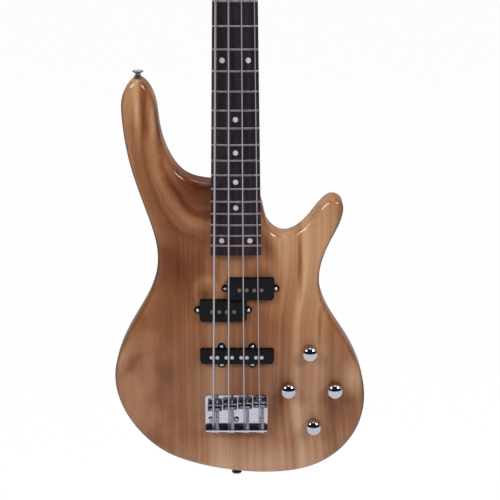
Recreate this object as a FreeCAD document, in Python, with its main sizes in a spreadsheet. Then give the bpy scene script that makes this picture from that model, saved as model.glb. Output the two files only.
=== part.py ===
import FreeCAD, Part
import math
import os
from types import SimpleNamespace

import Sketcher
from FreeCAD import Placement, Rotation, Vector

# A four-string electric bass guitar, hung upright with its strings facing -Y. The origin is the
# outer end of the tail strap button, +Z runs up the neck and the body's middle plane is Y = 0.
# The bass strings are on the -X side.

# Driving dimensions in millimetres, angles in degrees.
SIZES = {
    # Body slab, heights measured up from its tail edge on the centreline
    "body_thickness": 38,
    "edge_radius": 7.5,
    "bass_bout": 155.4,
    "treble_bout": 164.6,
    "bass_horn": 518.8,
    "treble_horn": 372,
    "horn_flat": 0.8,
    "belly_radius": 330,
    "belly_depth": 11,
    "belly_x": 128,
    "belly_height": 300,
    # Scale, neck and fretboard
    "tail_to_saddle": 99.4,
    "scale_length": 864,
    "nut_width": 42.7,
    "neck_end_width": 62.4,
    "board_length": 660.6,
    "board_thickness": 6,
    "board_lift": 4,
    "board_radius": 305,
    "neck_depth_nut": 15,
    "neck_depth_heel": 17,
    "pocket_depth": 18,
    "pocket_gap": 0.15,
    "heel_length": 66,
    "heel_ramp": 34,
    "fret_count": 24,
    "fret_width": 2.5,
    "fret_height": 1.1,
    "tang_width": 0.6,
    "tang_depth": 1.8,
    "slot_gap": 0.05,
    "dot_radius": 3.2,
    "dot_depth": 1.6,
    "side_dot_radius": 1.1,
    # Nut, truss rod and headstock
    "nut_thickness": 5,
    "nut_crown": 2.4,
    "truss_radius": 3,
    "truss_gap": 0.2,
    "truss_depth": 6,
    "truss_nut_radius": 3.9,
    "truss_nut_length": 9,
    "head_angle": 10,
    "head_thickness": 14,
    "head_length": 182,
    "head_shoulder": 37.5,
    "head_crown": 22,
    "volute_length": 26,
    "cover_width": 21,
    "cover_length": 46,
    "cover_thickness": 1.8,
    # Neck joint
    "neck_plate_width": 51,
    "neck_plate_length": 50,
    "neck_plate_thickness": 2.4,
    "neck_plate_corner": 6,
    "neck_screw_x": 19,
    "neck_screw_z": 18.5,
    "neck_screw_radius": 2.3,
    "neck_screw_length": 40,
    "neck_screw_head": 4.4,
    # Strings
    "string_1": 2.67,
    "string_2": 2.16,
    "string_3": 1.65,
    "string_4": 1.14,
    "saddle_spacing": 19.3,
    "nut_spacing": 11.7,
    "saddle_action": 4.5,
    "nut_action": 1.3,
    # Bridge
    "bridge_width": 80,
    "bridge_front": 11.5,
    "bridge_back": 34.7,
    "plate_thickness": 2.2,
    "plate_corner": 4,
    "wall_height": 13.4,
    "wall_thickness": 2,
    "bridge_screw_x": 33,
    "bridge_screw_front": 8.2,
    "bridge_screw_rear": 21.8,
    "bridge_screw_radius": 1.9,
    "bridge_screw_head": 3.4,
    "bridge_screw_length": 20,
    "barrel_radius": 5,
    "barrel_length": 18.4,
    "barrel_shift": 1.5,
    "groove_depth": 0.9,
    "string_seat_gap": 0.1,
    "string_hole_gap": 0.95,
    "intonation_shift": 4.3,
    "intonation_radius": 1.5,
    "intonation_length": 43,
    "intonation_head": 2.5,
    "intonation_head_length": 1.7,
    "thread_gap": 0.08,
    "height_screw_x": 7,
    "height_screw_radius": 1.5,
    "spring_radius": 2.2,
    "spring_wire": 0.35,
    "spring_turns": 8,
    "spring_end_gap": 0.35,
    "saddle_set_1": -1.5,
    "saddle_set_2": 0.3,
    "saddle_set_3": 1.5,
    "saddle_set_4": 3.2,
    "ball_radius": 2.6,
    "ball_length": 5.2,
    # Pickups
    "pickup_cavity": 18,
    "pickup_gap": 0.8,
    "pickup_rise": 7.5,
    "pickup_depth": 13,
    "cover_wall": 1.4,
    "cover_corner": 3,
    "ear_radius": 4.3,
    "ear_thickness": 2,
    "ear_rise": 1.2,
    "split_length": 57.5,
    "split_width": 27.8,
    "split_share": 0.3075,
    "split_step": 28.9,
    "split_treble_x": 18,
    "split_bass_x": 16.3,
    "split_ear_span": 62.8,
    "split_pole_pitch": 9.3,
    "long_length": 92,
    "long_width": 19,
    "long_share": 0.3752,
    "long_x": 1,
    "long_ear_x": 19.4,
    "long_ear_z": 12.1,
    "long_pole_pair": 7.2,
    "pole_radius": 2.4,
    "pole_rise": 0.4,
    "foam_height": 6,
    "pickup_screw_radius": 1.5,
    "pickup_screw_head": 2.3,
    "pickup_screw_length": 26,
    # Controls, placed from the treble bout and the tail edge
    "control_inset": 68.4,
    "control_height": 120.4,
    "control_spread_x": 29.5,
    "control_spread_z": 51.2,
    "control_lean": 3,
    "control_wall": 6,
    "cavity_half_x": 49,
    "cavity_half_z": 72,
    "cavity_margin": 5.5,
    "panel_thickness": 2.4,
    "panel_gap": 0.2,
    "pot_radius": 12,
    "pot_height": 10,
    "bushing_radius": 4.7,
    "bushing_rise": 4,
    "bushing_gap": 0.1,
    "shaft_radius": 3,
    "shaft_rise": 12.5,
    "knob_radius": 9.3,
    "knob_height": 16.4,
    "knob_crown": 3.7,
    "knob_edge": 2.2,
    "knob_gap": 0.6,
    "knob_wall": 1.6,
    "panel_nut_radius": 6.2,
    "panel_nut_height": 2.2,
    "channel_radius": 3.5,
    "lead_radius": 1.1,
    "panel_screw_radius": 1.3,
    "panel_screw_head": 2.6,
    "panel_screw_length": 12,
    # Output jack in the lower treble edge
    "jack_inset": 36.6,
    "jack_bore": 3.2,
    "jack_radius": 6,
    "jack_gap": 0.1,
    "jack_length": 36,
    "jack_bore_length": 30,
    "jack_flange": 9.5,
    "jack_flange_thickness": 2.2,
    "jack_sink": 1.2,
    # Strap buttons
    "button_height": 7.9,
    "button_head": 6.7,
    "button_foot": 5,
    "button_waist": 3.3,
    "felt_thickness": 1.1,
    "felt_radius": 5.3,
    "strap_screw_radius": 2,
    "strap_screw_head": 3.6,
    "strap_screw_length": 32,
    # Tuners
    "tuner_low": 58,
    "tuner_high": 116,
    "tuner_low_x": 25,
    "tuner_high_x": 18.5,
    "post_radius": 6,
    "post_waist": 5,
    "post_rise": 20,
    "post_tail": 3.9,
    "post_gap": 0.08,
    "post_slot": 3,
    "post_slot_depth": 5,
    "post_cap": 6,
    "post_bevel": 0.8,
    "post_step": 1,
    "bush_radius": 8.5,
    "bush_flange": 10.5,
    "bush_flange_thickness": 1.2,
    "bush_length": 9,
    "tuner_plate_thickness": 1.6,
    "tuner_plate_half": 10.2,
    "tuner_plate_tail": 23,
    "tuner_plate_shoulder": 4,
    "tuner_plate_corner": 3.4,
    "wheel_teeth": 20,
    "wheel_module": 0.9,
    "wheel_thickness": 4.5,
    "worm_root": 2.7,
    "worm_thread": 0.72,
    "worm_length": 13,
    "worm_turns": 3.5,
    "worm_mesh_gap": 0.15,
    "worm_shaft": 2.4,
    "worm_clearance": 0.5,
    "lug_thickness": 2,
    "key_start": 17,
    "key_stem_radius": 3.8,
    "key_stem_length": 8.5,
    "key_stem_lap": 1.5,
    "key_edge_radius": 1.6,
    "key_length": 25,
    "key_width": 24,
    "key_thickness": 4,
    "tuner_screw_radius": 1.2,
    "tuner_screw_head": 2.2,
    "tuner_screw_length": 9,
    "tuner_screw_top": 11.6,
    "tuner_screw_x": 7.1,
    "tuner_screw_low": 20,
    "winding_gap": 0.35,
    "winding_start": 4.6,
    "winding_step": 0.5,
    "winding_turns_low": 2,
    "winding_turns_high": 3,
}

# Shape of the body's edge, as (across, up) from the tail edge on the centreline. Each side is
# scaled to its bout's width and its horn's height.
BASS_EDGE = [
    (-75.4, 18.3), (-126.5, 57.6), (-155.4, 135.4), (-136.3, 196.4), (-107.2, 250.5), (-97.3, 292.4),
    (-110.9, 356.5), (-129.8, 419.8), (-137.1, 474.4), (-130.8, 508.6), (-116.9, 518.8),
    (-102.5, 506.1), (-93.2, 464.6), (-81.5, 424.6), (-61.3, 399.2), (-31.3, 390.9), (3.8, 386),
]
TREBLE_EDGE = [
    (29.6, 368.7), (38.4, 339.3), (57.9, 324.6), (86, 339.4), (106.3, 364.7), (118.4, 372),
    (129.8, 366.6), (131.5, 352.3), (117.7, 317.8), (103.8, 263.4), (116.1, 222.5), (140.8, 182.5),
    (164.6, 109.5), (153.4, 56.3), (110.4, 12.6), (48, -2.2), (0, 0),
]
# Shares of a round screw head's radius: height of its crown, height of its rim, and the ring where
# the crown starts to fall
CROWN, RIM, RING = 0.62, 0.31, 0.55
FACE_DOTS = [3, 5, 7, 9, 15, 17, 19, 21]
DOUBLE_DOTS = [12, 24]
STRINGS = ["e", "a", "d", "g"]
KNOBS = ["upper", "inner", "outer", "lower"]

doc = FreeCAD.newDocument("BassGuitar")
sheet = doc.addObject("Spreadsheet::Sheet", "Sizes")
for row, (alias, number) in enumerate(SIZES.items(), start=1):
    sheet.set(f"A{row}", alias)
    sheet.set(f"B{row}", str(number))
    sheet.setAlias(f"B{row}", alias)
doc.recompute()


class Dim(float):
    """A size that keeps the expression by which it follows from the sheet."""

    def __new__(cls, value, text):
        dim = float.__new__(cls, value)
        dim.text = text
        return dim

    def __add__(self, other):
        return Dim(float(self) + float(other), f"({self.text} + {text_of(other)})")

    def __radd__(self, other):
        return Dim(float(other) + float(self), f"({text_of(other)} + {self.text})")

    def __sub__(self, other):
        return Dim(float(self) - float(other), f"({self.text} - {text_of(other)})")

    def __rsub__(self, other):
        return Dim(float(other) - float(self), f"({text_of(other)} - {self.text})")

    def __mul__(self, other):
        return Dim(float(self) * float(other), f"({self.text} * {text_of(other)})")

    def __rmul__(self, other):
        return Dim(float(other) * float(self), f"({text_of(other)} * {self.text})")

    def __truediv__(self, other):
        return Dim(float(self) / float(other), f"({self.text} / {text_of(other)})")

    def __neg__(self):
        return Dim(-float(self), f"(0 - {self.text})")


def text_of(number):
    if isinstance(number, Dim):
        return number.text
    return f"({float(number)!r})"


s = SimpleNamespace(**{alias: Dim(sheet.get(alias), f"Sizes.{alias}") for alias in SIZES})

# Directions for pieces that are drawn standing on +Z
TO_FRONT = Rotation(Vector(1, 0, 0), 90)
TO_BACK = Rotation(Vector(1, 0, 0), -90)
TO_TREBLE = Rotation(Vector(0, 1, 0), 90)
TO_BASS = Rotation(Vector(0, 1, 0), -90)
UPWARD = Rotation()
DOWNWARD = Rotation(Vector(1, 0, 0), 180)
SIDE_VIEW = Rotation(Vector(1, 1, 1), 120)

# Levels shared by the pieces
tail_z = s.button_height + s.felt_thickness
saddle_z = tail_z + s.tail_to_saddle
nut_z = saddle_z + s.scale_length
nut_top_z = nut_z + s.nut_thickness
board_end_z = nut_z - s.board_length
face_y = -s.body_thickness / 2
back_y = s.body_thickness / 2
glue_y = face_y - s.board_lift
board_y = glue_y - s.board_thickness
pocket_y = face_y + s.pocket_depth

nodes = []


def node(thing, label):
    """Marks an object as one of the pieces that are written out."""
    thing.Label = label
    nodes.append(thing)
    return thing


def bind(thing, path, value):
    if isinstance(value, Dim):
        thing.setExpression(path, value.text)


def place(thing, x, y, z, turn=UPWARD):
    thing.Placement = Placement(Vector(x, y, z), turn)
    for axis, value in zip("xyz", (x, y, z)):
        bind(thing, f"Placement.Base.{axis}", value)
    return thing


def box(name, corner, lengths):
    block = doc.addObject("Part::Box", name)
    for side, value in zip(("Length", "Width", "Height"), lengths):
        setattr(block, side, float(value))
        bind(block, side, value)
    return place(block, *corner)


def rod(name, start, radius, length, turn=UPWARD):
    cylinder = doc.addObject("Part::Cylinder", name)
    cylinder.Radius = float(radius)
    cylinder.Height = float(length)
    bind(cylinder, "Radius", radius)
    bind(cylinder, "Height", length)
    return place(cylinder, *start, turn)


def fuse(name, parts):
    joined = doc.addObject("Part::MultiFuse", name)
    joined.Shapes = parts
    return joined


def cut(name, base, tools):
    result = doc.addObject("Part::Cut", name)
    result.Base = base
    result.Tool = tools[0] if len(tools) == 1 else fuse(name + "_cuts", tools)
    return result


def common(name, base, tool):
    result = doc.addObject("Part::Common", name)
    result.Base = base
    result.Tool = tool
    return result


def rounded(name, base, radius, wanted):
    """Rounds the edges of a piece that the test picks."""
    doc.recompute()
    result = doc.addObject("Part::Fillet", name)
    result.Base = base
    picked = [i for i, edge in enumerate(base.Shape.Edges, start=1) if wanted(edge)]
    result.Edges = [(i, float(radius), float(radius)) for i in picked]
    return result


def along(axis):
    """Picks the straight edges that run along one axis."""
    def wanted(edge):
        first, last = edge.Vertexes[0].Point, edge.Vertexes[-1].Point
        return edge.Length > 0.01 and abs((last - first).normalize().dot(axis)) > 0.999
    return wanted


def draw_loop(sketch, corners):
    """Draws a closed loop. A corner is (x, y), or (x, y, radius) where an arc arrives at it,
    anticlockwise for a positive radius."""
    ends = []
    for before, here in zip([corners[-1]] + corners[:-1], corners):
        start, end = Vector(before[0], before[1], 0), Vector(here[0], here[1], 0)
        if len(here) == 2:
            ends.append((sketch.addGeometry(Part.LineSegment(start, end)), 1, 2))
            continue
        radius = here[2]
        chord = end - start
        offset = math.sqrt(max(float(radius) ** 2 - chord.Length ** 2 / 4, 0))
        left = Vector(-chord.y, chord.x, 0).normalize()
        centre = (start + end) / 2 + left * math.copysign(offset, radius)
        circle = Part.Circle(centre, Vector(0, 0, 1), abs(float(radius)))
        angles = [math.atan2(p.y - centre.y, p.x - centre.x) for p in (start, end)]
        order = (1, 2) if radius > 0 else (2, 1)
        if radius < 0:
            angles.reverse()
        arc = sketch.addGeometry(Part.ArcOfCircle(circle, *angles))
        size = sketch.addConstraint(Sketcher.Constraint("Radius", arc, abs(float(radius))))
        bind(sketch, f"Constraints[{size}]", radius if radius > 0 else -radius)
        ends.append((arc, *order))
    for i, (x, y) in enumerate(corner[:2] for corner in corners):
        edge, first, last = ends[i]
        following, start, end = ends[(i + 1) % len(ends)]
        sketch.addConstraint(Sketcher.Constraint("Coincident", edge, last, following, start))
        for kind, axis, value in (("DistanceX", -2, x), ("DistanceY", -1, y)):
            if float(value) == 0:
                sketch.addConstraint(Sketcher.Constraint("PointOnObject", edge, last, axis))
                continue
            size = sketch.addConstraint(Sketcher.Constraint(kind, edge, last, float(value)))
            bind(sketch, f"Constraints[{size}]", value)


def origin_plane(body, role):
    return next(plane for plane in body.Origin.OriginFeatures if plane.Role == role)


def profile_sketch(body, name, role, corners):
    sketch = body.newObject("Sketcher::SketchObject", name)
    sketch.AttachmentSupport = [(origin_plane(body, role), "")]
    sketch.MapMode = "FlatFace"
    draw_loop(sketch, corners)
    return sketch


def turned(name, corners):
    """A lathe-turned piece standing on +Z, from its half section as (radius, height)."""
    body = doc.addObject("PartDesign::Body", name)
    sketch = profile_sketch(body, name + "_section", "XZ_Plane", corners)
    turn = body.newObject("PartDesign::Revolution", name + "_turn")
    turn.Profile = sketch
    turn.ReferenceAxis = (sketch, ["V_Axis"])
    turn.Angle = 360
    return body


def slab(name, corners, start, depth):
    """A plate seen from the front, with its front at one level and its depth towards the back."""
    sketch = doc.addObject("Sketcher::SketchObject", name + "_plan")
    place(sketch, 0, start, 0, TO_FRONT)
    draw_loop(sketch, corners)
    return extruded(name, sketch, Vector(0, 1, 0), depth)


def extruded(name, outline, direction, depth):
    result = doc.addObject("Part::Extrusion", name)
    result.Base = outline
    result.DirMode = "Custom"
    result.Dir = direction
    result.LengthFwd = float(depth)
    result.Solid = True
    bind(result, "LengthFwd", depth)
    return result


def ellipse(name, centre, half_x, half_z):
    """An ellipse in the front view, taller than it is wide."""
    ring = doc.addObject("Part::Ellipse", name)
    ring.MajorRadius = float(half_z)
    ring.MinorRadius = float(half_x)
    bind(ring, "MajorRadius", half_z)
    bind(ring, "MinorRadius", half_x)
    upright = TO_FRONT.multiply(Rotation(Vector(0, 0, 1), 90))
    return place(ring, *centre, upright)


def feature(name, shape):
    result = doc.addObject("Part::Feature", name)
    result.Shape = shape
    return result


def lathe(corners):
    """A solid turned about Z from its half section as (radius, height)."""
    points = [Vector(radius, 0, height) for radius, height in corners]
    face = Part.Face(Part.makePolygon(points + points[:1]))
    return face.revolve(Vector(), Vector(0, 0, 1), 360)


def screw(head_radius, shank_radius, length, countersunk=False):
    """A wood screw driven down -Z with the underside of its head at Z = 0."""
    point = 2 * shank_radius
    shank = [(shank_radius, point - length), (0, -length)]
    if countersunk:
        neck = shank_radius - head_radius
        return lathe([(0, 0), (head_radius, 0), (shank_radius, neck)] + shank)
    crown, rim, ring = CROWN * head_radius, RIM * head_radius, RING * head_radius
    fall = (crown - rim) * (RING / 2) ** 2
    head = [(0, crown), (ring, crown - fall), (head_radius, rim), (head_radius, 0)]
    return lathe(head + [(shank_radius, 0)] + shank)


def placed(shape, x, y, z, turn=UPWARD):
    copy = shape.copy()
    copy.Placement = Placement(Vector(x, y, z), turn).multiply(shape.Placement)
    return copy


def group(label, shapes):
    return node(feature(label, Part.makeCompound(shapes)), label)


def neck_half_width(z):
    return s.nut_width / 2 + (s.neck_end_width - s.nut_width) / 2 * ((nut_z - z) / s.board_length)


def fret_z(number):
    return nut_z - s.scale_length * (1 - 2 ** (-number / 12))


def string_x(index, z):
    """Where a string runs across, between its saddle and the nut."""
    place_in_row = index - (len(STRINGS) - 1) / 2
    share = (z - saddle_z) / s.scale_length
    return place_in_row * (s.saddle_spacing + (s.nut_spacing - s.saddle_spacing) * share)


def biarc(p0, t0, p1, t1):
    """Two tangent arcs from one point and direction to another."""
    t0, t1 = Vector(t0).normalize(), Vector(t1).normalize()
    span, turn = p1 - p0, t0 + t1
    bend = 2 - 2 * t0.dot(t1)
    reach = (-span.dot(turn) + math.sqrt(span.dot(turn) ** 2 + span.dot(span) * bend)) / bend
    q0, q1 = p0 + t0 * reach, p1 - t1 * reach
    middle = (q0 + q1) / 2
    arcs = []
    for start, knee, end in ((p0, q0, middle), (middle, q1, p1)):
        chord = (start + end) / 2
        weight = (end - start).Length / 2 / reach
        arcs.append(Part.Arc(start, (chord + knee * weight) / (1 + weight), end).toShape())
    return arcs


def wound(points, directions):
    """The arcs of a winding through its points."""
    edges = []
    for i in range(len(points) - 1):
        edges += biarc(points[i], directions[i], points[i + 1], directions[i + 1])
    return edges


def tube(edges, radius):
    path = Part.Wire(edges)
    start = edges[0].valueAt(edges[0].FirstParameter)
    heading = edges[0].tangentAt(edges[0].FirstParameter)
    ring = Part.Wire([Part.Circle(start, heading, float(radius)).toShape()])
    solid = path.makePipeShell([ring], True, False)
    wanted = math.pi * float(radius) ** 2 * path.Length
    if abs(solid.Volume - wanted) > 0.01 * wanted:
        raise ValueError("a tube's volume differs from its section times its length")
    return solid


# Points along a winding after which its next turn begins
NEXT_TURN = 17


def self_gap(name, edges, radius, skip):
    """Prints the least clear gap between the turns of a winding, measured on points of its line."""
    points = [p for edge in edges for p in edge.discretize(5)[:-1]]
    gap = min(
        points[i].distanceToPoint(points[j])
        for i in range(len(points))
        for j in range(i + skip, len(points))
    )
    print(f"{name}: least gap between turns {gap - 2 * float(radius):.2f} mm")


def rounded_path(points, radii):
    """Straight runs joined by tangent arcs, with one radius for each inner corner."""
    edges = []
    start = points[0]
    for before, corner, after, radius in zip(points, points[1:], points[2:], radii):
        arrive, leave = (corner - before).normalize(), (after - corner).normalize()
        half = math.acos(max(-1, min(1, arrive.dot(leave)))) / 2
        trim = float(radius) * math.tan(half)
        first, last = corner - arrive * trim, corner + leave * trim
        inward = (leave - arrive).normalize()
        middle = corner + inward * (float(radius) / math.cos(half) - float(radius))
        edges.append(Part.LineSegment(start, first).toShape())
        edges.append(Part.Arc(first, middle, last).toShape())
        start = last
    edges.append(Part.LineSegment(start, points[-1]).toShape())
    return edges


def over_ring(start, centre, end, ring):
    """The corner whose rounding, with the ring's radius, lies on the ring around the centre."""
    corner = centre - Vector(0, float(ring), 0)
    for _ in range(4):
        arrive, leave = (corner - start).normalize(), (end - corner).normalize()
        half = math.acos(arrive.dot(leave)) / 2
        corner = centre - (leave - arrive).normalize() * (float(ring) / math.cos(half))
    return corner


# Body outline: one smooth closed curve, cut into four stretches
bass_scale = (s.bass_bout / max(-x for x, z in BASS_EDGE), s.bass_horn / max(z for x, z in BASS_EDGE))
treble_scale = (
    s.treble_bout / max(x for x, z in TREBLE_EDGE),
    s.treble_horn / max(z for x, z in TREBLE_EDGE),
)
edge_points = []
for side, (across, up) in ((BASS_EDGE, bass_scale), (TREBLE_EDGE, treble_scale)):
    edge_points += [Vector(x * across, face_y, tail_z + z * up) for x, z in side]
edge_curve = Part.BSplineCurve()
edge_curve.interpolate(edge_points, PeriodicFlag=True)
inner_stops = [edge_curve.parameter(edge_points[i]) for i in (8, 16, 25)]
stops = [edge_curve.FirstParameter, *inner_stops, edge_curve.LastParameter]
stretches = []
for first, last in zip(stops, stops[1:]):
    stretch = edge_curve.copy()
    stretch.segment(first, last)
    stretches.append(stretch.toShape())
body_outline = feature("body_outline", Part.Wire(stretches))
blank = extruded("body_blank", body_outline, Vector(0, 1, 0), s.body_thickness)


def lies_flat(edge):
    return edge.BoundBox.YLength < 0.001


def on_rim(edge):
    """Picks the edges that follow the outline, at the front, at the back and in the belly dish."""
    point = edge.valueAt((edge.FirstParameter + edge.LastParameter) / 2)
    upright = abs(edge.tangentAt(edge.FirstParameter).y) > 0.9
    return not upright and body_outline.Shape.distToShape(Part.Vertex(point.x, face_y, point.z))[0] < 0.01


belly = doc.addObject("Part::Sphere", "belly_dish")
belly.Radius = float(s.belly_radius)
bind(belly, "Radius", s.belly_radius)
place(belly, -s.belly_x, back_y - s.belly_depth + s.belly_radius, tail_z + s.belly_height)
dished = cut("body_dished", blank, [belly])
soft_blank = rounded("body_rounded", dished, s.edge_radius, on_rim)

# Neck pocket and its screws
pocket_top = tail_z + s.bass_horn
pocket_low = board_end_z - s.pocket_gap
pocket = slab(
    "neck_pocket",
    [
        (-neck_half_width(pocket_low) - s.pocket_gap, pocket_low),
        (neck_half_width(pocket_low) + s.pocket_gap, pocket_low),
        (neck_half_width(pocket_top) + s.pocket_gap, pocket_top),
        (-neck_half_width(pocket_top) - s.pocket_gap, pocket_top),
    ],
    face_y - s.edge_radius,
    s.pocket_depth + s.edge_radius,
)
joint_z = board_end_z + s.neck_plate_length / 2 + s.neck_plate_corner / 2
neck_screw_places = [
    (x, joint_z + z)
    for x in (-s.neck_screw_x, s.neck_screw_x)
    for z in (-s.neck_screw_z, s.neck_screw_z)
]
neck_holes = [
    rod(
        f"neck_hole_{i}",
        (x, back_y, z),
        s.neck_screw_radius,
        s.neck_screw_length - s.neck_plate_thickness,
        TO_FRONT,
    )
    for i, (x, z) in enumerate(neck_screw_places)
]

# Pickup places, as (name, centre, length, width, ears, poles) in the front view. The face left free
# between bridge and fretboard is shared out over the gaps beside the two pickups.
bridge_end_z = saddle_z + s.bridge_front
long_reach = s.long_ear_z + s.ear_radius
split_reach = (s.split_step + s.split_width) / 2
free_face = board_end_z - bridge_end_z - 2 * (long_reach + split_reach)
long_z = bridge_end_z + s.long_share * free_face + long_reach
split_z = long_z + long_reach + s.split_share * free_face + split_reach
split_half_span = s.split_ear_span / 2
split_ears = [(-split_half_span, 0), (split_half_span, 0)]
split_poles = [(i * s.split_pole_pitch, 0) for i in (-1.5, -0.5, 0.5, 1.5)]
long_ears = [
    (x, z) for x in (-s.long_ear_x, s.long_ear_x) for z in (-s.long_ear_z, s.long_ear_z)
]
long_poles = [
    (string_x(i, long_z) + side * s.long_pole_pair / 2 - s.long_x / 2, 0)
    for i in range(len(STRINGS))
    for side in (-1, 1)
]
PICKUPS = [
    ("split_treble", s.split_treble_x, split_z + s.split_step / 2, s.split_length, s.split_width,
     split_ears, split_poles),
    ("split_bass", -s.split_bass_x, split_z - s.split_step / 2, s.split_length, s.split_width,
     split_ears, split_poles),
    ("long", s.long_x, long_z, s.long_length, s.long_width, long_ears, long_poles),
]
upright_edge = along(Vector(0, 1, 0))


def pickup_block(name, x, z, length, width, start, depth, corner):
    block = box(name + "_box", (x - length / 2, start, z - width / 2), (length, depth, width))
    return rounded(name, block, corner, upright_edge)


def pickup_ears(name, x, z, ears, radius, start, depth):
    return [
        rod(f"{name}_{i}", (x + ear_x, start, z + ear_z), radius, depth, TO_BACK)
        for i, (ear_x, ear_z) in enumerate(ears)
    ]


pickup_cuts = []
for name, x, z, length, width, ears, poles in PICKUPS:
    room = 2 * s.pickup_gap
    depth = s.pickup_cavity + s.pickup_rise
    high_y = face_y - s.pickup_rise
    pickup_cuts.append(
        pickup_block(name + "_cavity", x, z, length + room, width + room, high_y, depth, s.cover_corner)
    )
    pickup_cuts += pickup_ears(
        name + "_ear_cavity", x, z, ears, s.ear_radius + s.pickup_gap, high_y, depth
    )
    pickup_cuts += pickup_ears(
        name + "_screw_hole", x, z, ears, s.pickup_screw_radius, face_y, s.pickup_screw_length - s.ear_rise
    )

# Control cavity, routed from the back under four controls in a diamond
control_x = s.treble_bout - s.control_inset
control_z = tail_z + s.control_height
control_places = [
    (control_x - s.control_lean, control_z + s.control_spread_z),
    (control_x - s.control_spread_x, control_z),
    (control_x + s.control_spread_x, control_z),
    (control_x + s.control_lean, control_z - s.control_spread_z),
]
cavity_y = face_y + s.control_wall
panel_y = back_y - s.panel_thickness
panel_half_x = s.cavity_half_x + s.cavity_margin
panel_half_z = s.cavity_half_z + s.cavity_margin
cavity = extruded(
    "control_cavity",
    ellipse("cavity_ring", (control_x, cavity_y, control_z), s.cavity_half_x, s.cavity_half_z),
    Vector(0, 1, 0),
    s.body_thickness,
)
recess = extruded(
    "panel_recess",
    ellipse(
        "recess_ring",
        (control_x, panel_y, control_z),
        panel_half_x + s.panel_gap,
        panel_half_z + s.panel_gap,
    ),
    Vector(0, 1, 0),
    s.body_thickness,
)
control_holes = [
    rod(f"control_hole_{i}", (x, face_y, z), s.bushing_radius + s.bushing_gap, s.control_wall, TO_BACK)
    for i, (x, z) in enumerate(control_places)
]
panel_ring = (panel_half_x + s.cavity_half_x) / 2
panel_ring_z = (panel_half_z + s.cavity_half_z) / 2
panel_screw_places = [
    (control_x + panel_ring * math.cos(angle), control_z + panel_ring_z * math.sin(angle))
    for angle in (math.radians(a) for a in (40, 140, 220, 320))
]
panel_holes = [
    rod(
        f"panel_hole_{i}",
        (x, panel_y, z),
        s.panel_screw_radius,
        s.panel_screw_length - s.panel_thickness,
        TO_FRONT,
    )
    for i, (x, z) in enumerate(panel_screw_places)
]
channel_y = face_y + s.pickup_cavity - s.foam_height + s.lead_radius
channels = [
    rod("long_channel", (0, channel_y, long_z), s.channel_radius, control_x, TO_TREBLE),
    rod("split_channel", (0, channel_y, long_z), s.channel_radius, split_z - long_z - s.split_step / 2),
]

# Output jack: it stands square to the lower treble edge
jack_x = s.treble_bout - s.jack_inset
probe = Part.LineSegment(
    Vector(jack_x, face_y, tail_z - s.treble_bout), Vector(jack_x, face_y, control_z)
).toShape()
jack_edge = body_outline.Shape.distToShape(probe)[1][0][0]
run = edge_curve.tangent(edge_curve.parameter(jack_edge))[0]
jack_axis = Vector(-run.z, 0, run.x).normalize()
if jack_axis.z > 0:
    jack_axis = -jack_axis
jack_turn = Rotation(Vector(0, 0, 1), jack_axis)
jack_seat = Vector(jack_edge.x, 0, jack_edge.z) - jack_axis * float(s.jack_sink)
jack_place = Placement(jack_seat, jack_turn)
print("output jack seat", [round(v, 4) for v in jack_seat], "axis", [round(v, 6) for v in jack_axis])
jack_cuts = [
    rod("jack_hole", (0, 0, 0), s.jack_radius + s.jack_gap, s.jack_length + s.jack_radius, DOWNWARD),
    rod("jack_spot", (0, 0, 0), s.jack_flange + s.panel_gap, s.jack_length),
]
for tool in jack_cuts:
    tool.Placement = jack_place.multiply(tool.Placement)

# Strap button seats, at the tail and on the tip of the bass horn
horn_tip = max(BASS_EDGE, key=lambda point: point[1])
horn_x = horn_tip[0] * bass_scale[0]
horn_z = tail_z + s.bass_horn - s.horn_flat
strap_cuts = [
    rod("tail_seat", (0, 0, 0), s.felt_radius, tail_z),
    rod("horn_seat", (horn_x, 0, horn_z), s.felt_radius + s.body_thickness, s.felt_radius),
    rod("tail_pilot", (0, 0, tail_z), s.strap_screw_radius, s.strap_screw_length - tail_z),
    rod("horn_pilot", (horn_x, 0, horn_z), s.strap_screw_radius, s.strap_screw_length - tail_z, DOWNWARD),
]

# Bridge screw holes
bridge_screw_places = [
    (string_x(0, saddle_z), saddle_z + s.bridge_screw_front),
    (string_x(3, saddle_z), saddle_z + s.bridge_screw_front),
    (-s.bridge_screw_x, saddle_z - s.bridge_screw_rear),
    (0, saddle_z - s.bridge_screw_rear),
    (s.bridge_screw_x, saddle_z - s.bridge_screw_rear),
]
bridge_holes = [
    rod(
        f"bridge_hole_{i}",
        (x, face_y, z),
        s.bridge_screw_radius,
        s.bridge_screw_length - s.plate_thickness,
        TO_BACK,
    )
    for i, (x, z) in enumerate(bridge_screw_places)
]
cuts = [pocket, *neck_holes, *pickup_cuts, cavity, recess, *control_holes, *panel_holes]
cuts += [*channels, *jack_cuts, *strap_cuts, *bridge_holes]
body = node(cut("body_cut", soft_blank, cuts), "body")

# Neck: a D-shaped shaft, a block heel in the pocket and a headstock that leans back
head_place = Placement(Vector(0, glue_y, nut_top_z), Rotation(Vector(1, 0, 0), -float(s.head_angle)))
head_back = head_place.Rotation.multVec(Vector(0, 1, 0))


def on_head(thing, x, y, z, turn=UPWARD):
    """Places a piece by its distances across, behind the headstock's face and up from the nut."""
    thing.Placement = head_place.multiply(Placement(Vector(x, y, z), turn))
    return thing


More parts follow.
